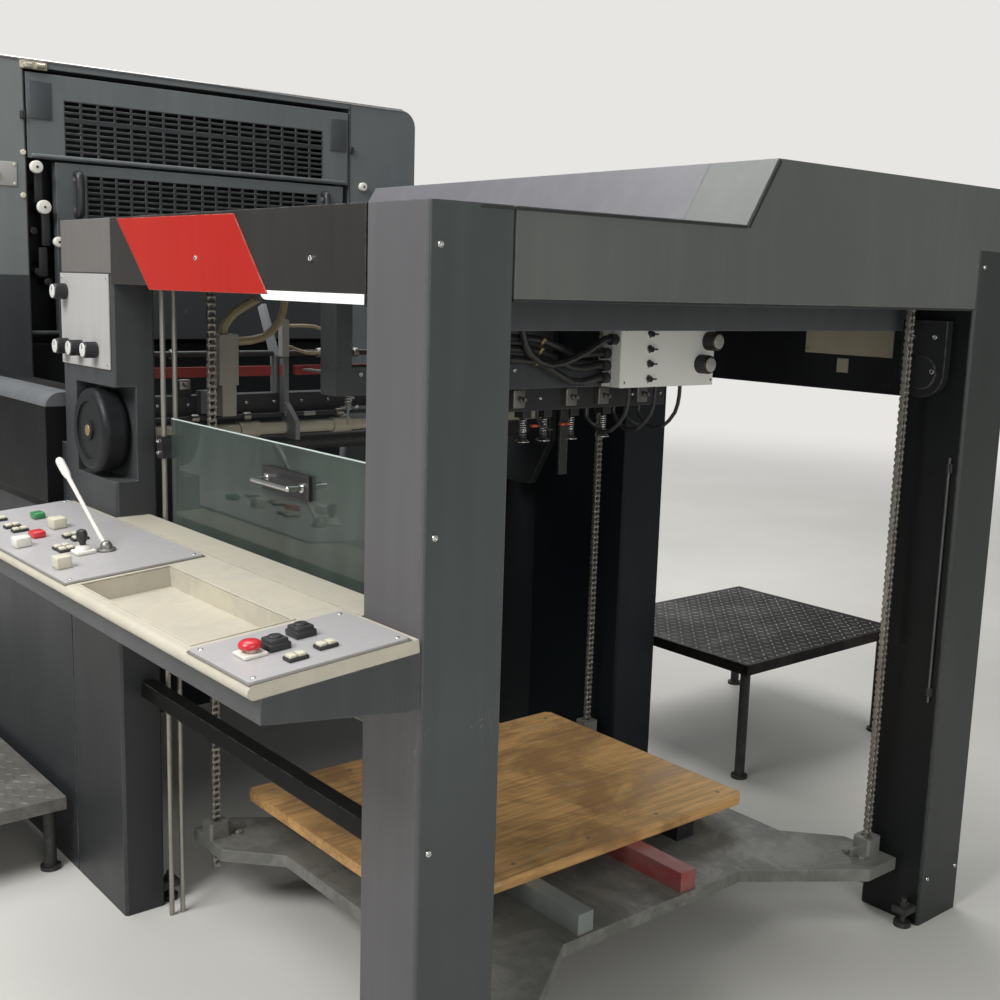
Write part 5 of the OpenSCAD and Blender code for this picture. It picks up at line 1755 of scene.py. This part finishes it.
@dataclass
class Head(Assembly):
    """The air box's caps and screws, the hoses' clips, and the suction head's small works.

    Attributes:
        knobs: Each air box knob's place across the press and its height.
        cap_y: Where the knobs' caps stand along the press.
        tap_heights: Heights of the taps over the air box's foot.
        tap_x: The taps' place in from the box's side.
        box_inset: How far the box's screws lie inside its corners.
        ties: The clips where the hoses bunch, by place and radius.
        collars: Each hose collar's place along the press and its height.
        collar_x: The collars' place across the press.
        suckers: The suckers' places across the press.
        marks: Places of the coral rings across the press.
        bar_screws: The upper and the lower row of screws along the crossbar.
    """

    knobs: tuple[Pair, ...] = ((1.344, 1.404), (1.318, 1.346))
    cap_y: float = 0.585
    tap_heights: tuple[float, ...] = (0.020, 0.057, 0.093, 0.130)
    tap_x: float = 0.096
    box_screw: Profile = ((0.004, 0.0), (0.0037, 0.0012), (0.002, 0.002))
    box_inset: float = 0.012
    ties: tuple[Quad, ...] = (
        (0.800, 0.666, 1.358, 0.0115), (0.806, 0.666, 1.382, 0.0112),
        (0.812, 0.666, 1.404, 0.0110),
    )
    collars: tuple[Pair, ...] = ((0.666, 1.314), (0.666, 1.344), (0.666, 1.374), (0.642, 1.408))
    collar_x: float = 1.016
    suckers: tuple[float, ...] = (0.640, 0.760, 0.877, 0.945, 1.036, 1.149)
    sucker_y: float = 0.795
    marks: Triple = (0.905, 1.000, 1.012)
    bar_screws: tuple[Screws, ...] = (
        Screws(0.005, "-Y", spaced(0.34, 0.106, 10), (0.700,), (1.335,)),
        Screws(0.004, "-Y", spaced(0.37, 0.106, 10), (0.760,), (1.260,)),
    )
    valves: tuple[float, ...] = (0.690, 0.820, 0.990, 1.100, 1.240)
    elbows: tuple[float, ...] = (0.720, 0.905, 1.070, 1.210)
    elbow_path: tuple[Triple, ...] = (
        (0.0, 0.0, 0.0), (0.0, -0.004, -0.026), (0.012, -0.02, -0.044), (0.034, -0.02, -0.050),
    )

    def caps(self) -> None:
        """A brass ring and a pale cap on each of the air box's knobs."""
        for number, (x, z) in enumerate(self.knobs, 1):
            body = f"air_knob_{number}"
            cap, ring = Solid(), Solid()
            place = self.face(x, self.cap_y, z, "-Y")
            cap.disc(0.0175, 0.003, place, 0.0012)
            self.make(cap, f"{body}_cap", body, Slot.BLACK, CAP_GREY)
            ring.turned([(0.0190, -0.002), (0.0190, 0.0008), (0.0172, 0.0012)], place, 32)
            self.make(ring, f"{body}_ring", body, Slot.BLACK, AGED_BRASS)

    def box_details(self) -> None:
        """Screws and a folded joint on the air box, and washers under its taps."""
        low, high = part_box("air_box")
        front = low.y
        screws, joint, washers = Solid(), Solid(), Solid()
        for x, z in inset_corners((low.x, low.z, high.x, high.z), self.box_inset):
            screws.turned(self.box_screw, facing((x, front, z), "-Y"), 16)
        for z in self.tap_heights:
            place = facing((low.x + self.tap_x, front, low.z + z), "-Y")
            washers.turned([(0.0105, 0.0), (0.0105, 0.0014), (0.009, 0.002)], place, 24)
        middle = (low.x + 0.0005, (front + high.y) / 2 - 0.005, (low.z + high.z) / 2)
        joint.block((0.0022, 0.0012, high.z - low.z - 0.006), 0.0005, Matrix.Translation(middle))
        self.make(screws, "air_box_screws", "press", Slot.CHROME)
        self.make(washers, "air_box_washers", "press", Slot.CHROME)
        self.make(joint, "air_box_joint", "press", Slot.BLACK)

    def clips(self) -> None:
        """Brass clips where the hoses bunch, and a dark ring at each collar."""
        ties, rings = Solid(), Solid()
        for x, y, z, r in self.ties:
            band = [(r - 0.002, -0.004), (r, -0.0035), (r, 0.0035), (r - 0.002, 0.004)]
            ties.turned(band, self.face(x, y, z, "-X"), 20)
            ties.block((0.010, 0.012, 0.007), 0.001, self.spot(x, y - 0.012, z + 0.004))
        band = [(0.0110, -0.003), (0.0136, -0.0025), (0.0136, 0.0025), (0.0110, 0.003)]
        for y, z in self.collars:
            rings.turned(band, self.face(self.collar_x, y, z, "-X"), 24)
        self.make(ties, "hose_ties", "press", Slot.HOSE, CLIP_BRASS)
        self.make(rings, "hose_rings", "press", Slot.BLACK)

    def stems(self) -> None:
        """Springs, nuts and rings on the suction head's stems."""
        springs, nuts, marks = Solid(), Solid(), Solid()
        nut = [(0.010, 1.164), (0.010, 1.170), (0.008, 1.172), (0.0045, 1.172)]
        cup = [(0.0185, 1.150), (0.0185, 1.152), (0.012, 1.158), (0.008, 1.164)]
        for x in self.suckers:
            place = self.spot(x, self.sucker_y, 0.0)
            springs.helix(0.0088, 0.0016, 6.5, 1.172, 1.208, place)
            nuts.turned(nut, place, 6)
            nuts.turned(cup, place, 28)
        for x in self.marks:
            marks.block((0.020, 0.012, 0.006), 0.0015, self.spot(x, self.sucker_y - 0.012, 1.190))
        self.make(springs, "sucker_springs", "press", Slot.CHROME)
        self.make(nuts, "sucker_nuts", "press", Slot.CHROME)
        self.make(marks, "sucker_marks", "press", Slot.INNER, CORAL)

    def crossbar_works(self) -> None:
        """Screws along the crossbar, valve blocks, and small elbows under the head."""
        screws, valves, elbows = Solid(), Solid(), Solid()
        for row in self.bar_screws:
            self.drive(screws, row)
        stub = [(0.007, 0.0), (0.007, 0.014), (0.005, 0.016), (0.005, 0.024)]
        for x in self.valves:
            valves.block((0.036, 0.020, 0.044), 0.002, self.spot(x, 0.752, 1.262))
            valves.turned(stub, self.face(x, 0.744, 1.262, "-Y"), 16)
        bend = curve(self.elbow_path, 6)
        for x in self.elbows:
            elbows.swept(bend, 0.0042, self.spot(x, 0.775, 1.232), 10)
        self.make(screws, "crossbar_screws", "press", Slot.CHROME)
        self.make(valves, "crossbar_valves", "press", Slot.INNER, VALVE_STEEL)
        self.make(elbows, "head_elbows", "press", Slot.HOSE)

    def build(self) -> None:
        """Adds the head's pieces."""
        self.caps()
        self.box_details()
        self.clips()
        self.stems()
        self.crossbar_works()


@dataclass
class Infeed(Assembly):
    """Small works between the cheeks: spring, collars, lugs and bolts.

    Attributes:
        spring: The spring's place across and along the press.
        upper: Where the upper collars' shaft runs, along the press and in height.
        lower: The same for the lower collars.
        lower_shift: How far a lower collar lies beside an upper one.
        lug: The lugs' place along the press and in height.
    """

    spring: Pair = (0.671, 1.265)
    spring_ends: Pair = (1.204, 1.272)
    bolts: Screws = Screws(0.0045, "-Y", spaced(0.16, 0.085, 16), (1.505,), (1.198,))
    collars: tuple[float, ...] = (0.30, 0.45, 0.74, 0.86, 1.02, 1.22, 1.38)
    upper: Pair = (1.527, 1.328)
    lower: Pair = (1.467, 1.165)
    lower_shift: float = 0.03
    upper_collar: Profile = ((0.011, -0.008), (0.013, -0.006), (0.013, 0.006), (0.011, 0.008))
    lower_collar: Profile = ((0.008, -0.012), (0.011, -0.010), (0.011, 0.010), (0.008, 0.012))
    lugs: tuple[float, ...] = (0.205, 0.325, 0.805, 0.945, 1.105, 1.325)
    lug: Pair = (1.514, 1.250)

    def build(self) -> None:
        """Adds the infeed's pieces."""
        springs, bolts, collars, lugs = Solid(), Solid(), Solid(), Solid()
        springs.helix(0.0085, 0.0018, 9.0, *self.spring_ends, self.spot(*self.spring, 0.0))
        self.drive(bolts, self.bolts)
        for x in self.collars:
            collars.turned(self.upper_collar, self.face(x, *self.upper, "+X"), 24)
            collars.turned(self.lower_collar, self.face(x + self.lower_shift, *self.lower, "+X"), 20)
        for x in self.lugs:
            lugs.block((0.030, 0.012, 0.026), 0.002, self.spot(x, *self.lug))
            lugs.turned([(0.006, 0.0), (0.006, 0.012), (0.004, 0.014)], self.face(x, *self.lug, "-Y"), 16)
        self.make(springs, "infeed_spring", "press", Slot.CHROME)
        self.make(bolts, "infeed_bolts", "press", Slot.CHROME)
        self.make(collars, "infeed_collars", "press", Slot.INNER, COLLAR_STEEL)
        self.make(lugs, "infeed_lugs", "press", Slot.INNER, COLLAR_STEEL)


@dataclass
class Unit(Assembly):
    """The printing unit's knobs, catches, plates and trims.

    Attributes:
        front: Where the unit's front lies along the press.
        back: Where the core's face lies along the press.
        knobs: The white knobs: place across, metres from the front, height and radius.
        stem_limit: The place across below which a knob has a stem from the core.
        arms: The dark arms: place across, height and length.
        spindles: Places across and heights of the bare spindles.
        switch: The switch plate's place across and its height.
        switch_caps: Half the distances between the plate's caps, across and upwards.
        caps: Places across and heights of the caps beside the plate.
        highlight_bead_ends: Places across of the ends of the bright bead on the top edge, a painted
            highlight.
        pin_room: How far the upper guard's pins stand out beside its panel.
        grip_half: The upper half of a grip's middle line, from its middle.
    """

    front: float = 2.430
    back: float = 2.5255
    knobs: tuple[Quad, ...] = (
        (0.274, -0.012, 1.845, 0.019), (0.298, 0.000, 1.727, 0.021), (0.338, -0.006, 1.623, 0.016),
        (1.463, -0.004, 1.871, 0.015),
    )
    stem_limit: float = 0.34
    arms: tuple[Triple, ...] = ((0.292, 1.790, 0.100), (0.312, 1.670, 0.120), (0.300, 1.560, 0.090))
    arm_y: float = 2.456
    spindles: tuple[Pair, ...] = ((0.275, 1.655), (0.312, 1.710), (0.285, 1.530), (0.316, 1.500))
    switch: Pair = (0.173, 1.820)
    switch_caps: Pair = (0.040, 0.028)
    button: Profile = ((0.016, 0.0), (0.016, 0.006), (0.014, 0.009), (0.006, 0.0105))
    button_x: float = 0.150
    caps: tuple[Pair, ...] = ((0.242, 1.887), (0.238, 1.759))
    latches: Pair = (0.243, 1.417)
    latch_height: float = 1.997
    highlight_bead_ends: Pair = (0.060, 1.640)
    highlight_bead_height: float = 2.1605
    seams: Pair = (0.2485, 1.4115)
    seam_ends: Pair = (1.22, 2.155)
    pin_room: float = 0.026
    grips: Pair = (0.406, 1.304)
    grip_height: float = 1.771
    grip_half: tuple[Triple, ...] = (
        (0.0, -0.027, 0.0), (0.0, -0.026, 0.030), (0.0, -0.020, 0.058), (0.0, 0.004, 0.062),
    )

    def knob_works(self) -> None:
        """White round knobs with dark centres, and dark arms on spindles from the core."""
        white, dark = Solid(), Solid()
        for x, out, z, radius in self.knobs:
            y = self.front + out
            white.disc(radius, 0.016, self.face(x, y, z, "-Y"), 0.003)
            dark.disc(0.004, 0.002, self.face(x, y - 0.0155, z, "-Y"), 0.0006, 14)
            if x < self.stem_limit:
                dark.disc(radius * 0.5, self.back - y, self.face(x, self.back, z, "-Y"), 0.001)
        for x, z, length in self.arms:
            dark.block((0.026, 0.014, length), 0.002, self.spot(x, self.arm_y, z))
            dark.disc(0.009, 0.066, self.face(x, self.back, z, "-Y"), 0.001)
        for x, z in self.spindles:
            dark.disc(0.012, 0.072, self.face(x, self.back, z, "-Y"), 0.002)
        self.make(white, "unit_knobs", "press", Slot.WHITE)
        self.make(dark, "unit_arms", "press", Slot.INNER)

    def plates(self) -> None:
        """The switch plate with its button, and cream caps on it and beside it."""
        plate, button, caps = Solid(), Solid(), Solid()
        x, z = self.switch
        face = self.front - 0.0025
        plate.block((0.096, 0.003, 0.072), 0.0013, self.spot(x, self.front - 0.0012, z))
        button.turned(self.button, self.face(self.button_x, face, z, "-Y"), 28)
        across, up = self.switch_caps
        for side, rise in product((-across, across), (-up, up)):
            caps.disc(0.0045, 0.002, self.face(x + side, face, z + rise, "-Y"), 0.0008, 16)
        for x, z in self.caps:
            caps.disc(0.0085, 0.004, self.face(x, self.front, z, "-Y"), 0.0015, 20)
        self.make(plate, "unit_switch_plate", "press", Slot.PANEL)
        self.make(button, "unit_switch_button", "press", Slot.BUTTON, SLATE)
        self.make(caps, "unit_caps", "press", Slot.WHITE, AGED_CREAM)

    def catches(self) -> None:
        """Black latches beside the upper guard, and the pale catch on its top edge."""
        latch, catch = Solid(), Solid()
        y = self.front
        for x in self.latches:
            latch.block((0.014, 0.012, 0.024), 0.002, self.spot(x, y - 0.004, self.latch_height))
        catch.block((0.083, 0.006, 0.022), 0.0015, self.spot(0.281, y - 0.003, 2.144))
        catch.block((0.026, 0.014, 0.014), 0.002, self.spot(0.262, y - 0.010, 2.142))
        barrel = [(0.008, -0.012), (0.008, 0.012), (0.006, 0.013)]
        catch.turned(barrel, self.face(0.300, y - 0.010, 2.144, "+X"), 20)
        self.make(latch, "unit_latches", "press", Slot.BLACK)
        self.make(catch, "unit_catch", "press", Slot.CHROME, CATCH_STEEL)

    def trims(self) -> None:
        """A bright chrome bead along the front's top edge, a painted highlight for its rounded edge, and
        seams down the covers.
        """
        rail, seam = Solid(), Solid()
        # The bead is a painted highlight: a chrome line standing in for the light on the rounded top edge,
        # which has no rail.
        ends = [self.at(x, self.front, self.highlight_bead_height) for x in self.highlight_bead_ends]
        rail.swept(np.array(ends), 0.0042, None, 12)
        low, high = self.seam_ends
        for x in self.seams:
            middle = self.spot(x, self.front - 0.0002, (high + low) / 2)
            seam.block((0.004, 0.003, high - low), 0.0008, middle)
        self.make(rail, "unit_top_highlight_bead", "press", Slot.CHROME)
        self.make(seam, "unit_seams", "press", Slot.BLACK)

    def guard_trims(self) -> None:
        """Hinge covers and a lower lip on the upper guard, and the lower guard's grips."""
        covers, lip, grips = Solid(), Solid(), Solid()
        low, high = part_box("upper_guard")
        left, right = low.x + self.pin_room, high.x - self.pin_room
        for x in (left + 0.036, right - 0.036):
            middle = (x, low.y - 0.0015, high.z - 0.080)
            covers.block((0.068, 0.004, 0.112), 0.001, Matrix.Translation(middle))
        middle = ((left + right) / 2, low.y - 0.002, low.z + 0.008)
        lip.block((right - left - 0.010, 0.010, 0.012), 0.004, Matrix.Translation(middle))
        self.make(covers, "upper_guard_covers", "upper_guard", Slot.UNIT, HINGE_PAINT)
        self.make(lip, "upper_guard_lip", "upper_guard", Slot.UNIT)
        lower_half = [(x, y, -z) for x, y, z in self.grip_half[:0:-1]]
        path = curve([*lower_half, *self.grip_half], 6)
        for x in self.grips:
            grips.swept(path, 0.0135, self.spot(x, self.front, self.grip_height), 16)
        self.make(grips, "lower_guard_grips", "lower_guard", Slot.BLACK)

    def build(self) -> None:
        """Adds the unit's pieces."""
        self.knob_works()
        self.plates()
        self.catches()
        self.trims()
        self.guard_trims()


@dataclass
class Treads(Assembly):
    """Raised lozenges over the footboards.

    Attributes:
        start: How far the first lozenge's middle lies inside the board.
        end: How far the last lies inside it at least.
        half_length: Half a lozenge's length.
        half_ridge: Half its ridge's.
        sunk: How deep its edges lie in the plate.
        roof: Its faces, by the numbers of its four edge points and its ridge's two.
    """

    pitch: float = 0.030
    start: float = 0.020
    end: float = 0.015
    half_length: float = 0.0125
    half_width: float = 0.0042
    half_ridge: float = 0.006875
    rise: float = 0.0016
    sunk: float = 0.0002
    roof: tuple = ((0, 1, 4), (1, 2, 5), (1, 5, 4), (2, 3, 5), (3, 0, 4), (3, 4, 5))

    def board(self, node: str) -> None:
        """Covers one footboard with lozenges that lie across each other in turn.

        Each lozenge is a low roof: its ridge runs the long way, and its four edge points lie
        on the plate. With t an eighth of a turn, one way and the other in turn, its point
        (u, v, w) goes to (x + u cos t - v sin t, y + u sin t + v cos t, top + w).

        Args:
            node: The footboard's CAD node.
        """
        low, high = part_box(node)
        xs = np.arange(low.x + self.start, high.x - self.end, self.pitch)
        ys = np.arange(low.y + self.start, high.y - self.end, self.pitch)
        x, y = (grid.reshape(-1, 1) for grid in np.meshgrid(xs, ys, indexing="ij"))
        row, column = np.indices((len(xs), len(ys)))
        turn = np.where((row + column) % 2, np.pi / 4, -np.pi / 4).reshape(-1, 1)
        long, wide, ridge = self.half_length, self.half_width, self.half_ridge
        edge = [(-long, 0.0, 0.0), (0.0, -wide, 0.0), (long, 0.0, 0.0), (0.0, wide, 0.0)]
        u, v, w = np.array([*edge, (-ridge, 0.0, self.rise), (ridge, 0.0, self.rise)]).T
        points = np.empty((len(x), len(u), 3))
        points[..., 0] = x + u * np.cos(turn) - v * np.sin(turn)
        points[..., 1] = y + u * np.sin(turn) + v * np.cos(turn)
        points[..., 2] = high.z - self.sunk + w
        first = np.arange(len(x)) * len(u)
        faces = first[:, None, None] + np.array(self.roof)
        solid = Solid()
        solid.add(points, faces.reshape(-1, 3).tolist())
        self.make(solid, f"{node}_tread", "press", Slot.TREAD)

    def build(self) -> None:
        """Covers both footboards."""
        self.board("operator_step")
        self.board("drive_step")


@dataclass(frozen=True)
class Lamp:
    """One square soft lamp: its place, the point that it faces, its side and its power."""

    name: str
    spot: Triple
    target: Triple
    size: float
    watts: float

    def hang(self) -> None:
        """Makes the lamp, turned to its target."""
        data = bpy.data.lights.new(self.name, "AREA")
        data.size = self.size
        data.energy = self.watts
        made = bpy.data.objects.new(self.name, data)
        made.location = self.spot
        way = Vector(self.target) - Vector(self.spot)
        made.rotation_euler = way.to_track_quat("-Z", "Y").to_euler()
        bpy.context.scene.collection.objects.link(made)


@dataclass
class Studio:
    """Camera, lamps, world and floor.

    Attributes:
        heading: The camera's heading in degrees, from +Y towards +X.
        pitch: How far it looks up, in degrees.
        roll: How far it leans about its own axis, in degrees.
        lens: Its focal length in millimetres, over a 36 mm frame.
        fade_from: How far from the origin the floor starts to fade into the wall.
        fade_to: How far from it the floor has faded.
        fill: Colour of the world's even light.
    """

    eye: Triple = (-2.131, -3.221, 1.525)
    heading: float = 39.6667
    pitch: float = -9.7681
    roll: float = -1.6885
    lens: float = 44.54
    floor_size: float = 60.0
    fade_from: float = 4.0
    fade_to: float = 11.0
    wall: Quad = (0.80, 0.79, 0.765, 1.0)
    fill: Quad = (0.96, 1.0, 0.985, 1.0)
    fill_strength: float = 0.25
    lamps: tuple[Lamp, ...] = (
        Lamp("key", (-5.2, -1.2, 5.4), (-0.2, 0.0, 1.2), 3.0, 430.0),
        Lamp("front", (-1.6, -6.6, 2.3), (0.0, -1.0, 1.0), 3.0, 92.0),
        Lamp("top", (-0.2, 1.2, 6.0), (0.0, 0.6, 0.0), 4.0, 250.0),
        Lamp("back", (4.6, 4.4, 4.0), (0.3, 0.8, 0.9), 3.6, 110.0),
    )

    def camera(self) -> None:
        """Places the camera at the eye, turned by its heading, its pitch and its roll."""
        heading, pitch, roll = np.radians([self.heading, self.pitch, self.roll])
        level = np.array([math.sin(heading), math.cos(heading), 0.0])
        ahead = level * math.cos(pitch) + np.array([0.0, 0.0, math.sin(pitch)])
        right = np.array([math.cos(heading), -math.sin(heading), 0.0])
        down = np.cross(ahead, right)
        across = math.cos(roll) * right + math.sin(roll) * down
        below = math.cos(roll) * down - math.sin(roll) * right
        data = bpy.data.cameras.new("view")
        data.lens = self.lens
        data.sensor_width = 36.0
        data.clip_end = 200.0
        made = bpy.data.objects.new("view", data)
        turn = Matrix((across, -below, -ahead)).transposed()
        made.matrix_world = Matrix.Translation(self.eye) @ turn.to_4x4()
        bpy.context.scene.collection.objects.link(made)
        bpy.context.scene.camera = made

    def world(self) -> None:
        """Fills the world with even light, and shows a pale wall to the camera."""
        made = bpy.data.worlds.new("studio")
        made.use_nodes = True
        bpy.context.scene.world = made
        tree = made.node_tree
        tree.nodes.clear()
        out = tree.nodes.new("ShaderNodeOutputWorld")
        rays = tree.nodes.new("ShaderNodeLightPath")
        seen = tree.nodes.new("ShaderNodeBackground")
        seen.inputs["Color"].default_value = self.wall
        fill = tree.nodes.new("ShaderNodeBackground")
        fill.inputs["Color"].default_value = self.fill
        fill.inputs["Strength"].default_value = self.fill_strength
        mix = tree.nodes.new("ShaderNodeMixShader")
        tree.links.new(rays.outputs["Is Camera Ray"], mix.inputs[0])
        tree.links.new(fill.outputs[0], mix.inputs[1])
        tree.links.new(seen.outputs[0], mix.inputs[2])
        tree.links.new(mix.outputs[0], out.inputs["Surface"])

    def floor(self) -> None:
        """Lays a pale floor with a soft mottle, which the eye sees fade into the wall."""
        half = self.floor_size / 2.0
        corners = [(-half, -half, 0.0), (half, -half, 0.0), (half, half, 0.0), (-half, half, 0.0)]
        mesh = bpy.data.meshes.new("floor")
        mesh.from_pydata(corners, [], [(0, 1, 2, 3)])
        made = bpy.data.objects.new("floor", mesh)
        bpy.context.scene.collection.objects.link(made)
        box = Paintbox("pale floor")
        cloud = box.noise(0.8, 5.0, 0.6).step(0.3, 0.7)
        colour = box.blend(cloud, (0.60, 0.585, 0.545), (0.65, 0.635, 0.60))
        material = box.surface({"Base Color": colour, "Roughness": 0.6})
        x, y = (box.part(box.place(), axis) for axis in "XY")
        away = ((x * x + y * y) ** 0.5).step(self.fade_from, self.fade_to)
        eye = box.out("ShaderNodeLightPath", {}, {}, "Is Camera Ray")
        wall = box.node("ShaderNodeEmission", {}, {"Color": self.wall})
        shaded = box.final.inputs["Surface"].links[0].from_socket
        parts = {0: away * eye, 1: shaded, 2: wall.outputs[0]}
        both = box.node("ShaderNodeMixShader", {}, parts)
        box.tree.links.new(both.outputs[0], box.final.inputs["Surface"])
        mesh.materials.append(material)

    def build(self) -> None:
        """Sets the colour view, and makes the camera, lamps, world and floor."""
        bpy.context.scene.view_settings.view_transform = "Standard"
        self.camera()
        self.world()
        self.floor()
        for lamp in self.lamps:
            lamp.hang()


def main() -> None:
    """Builds the studio, dresses the frame and adds each sub-assembly's finer pieces."""
    logging.basicConfig(level=logging.INFO, format="%(name)s: %(message)s")
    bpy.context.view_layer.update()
    Studio().build()
    finishes = Finishes()
    finishes.dress_frame()
    for kind in (Desk, Column, Station, Lift, Head, Infeed, Unit, Treads):
        group = kind(finishes)
        group.build()
        for piece in group.pieces:
            LOG.info("added %s with %d faces", piece.name, len(piece.data.polygons))


if __name__ == "__main__":
    main()
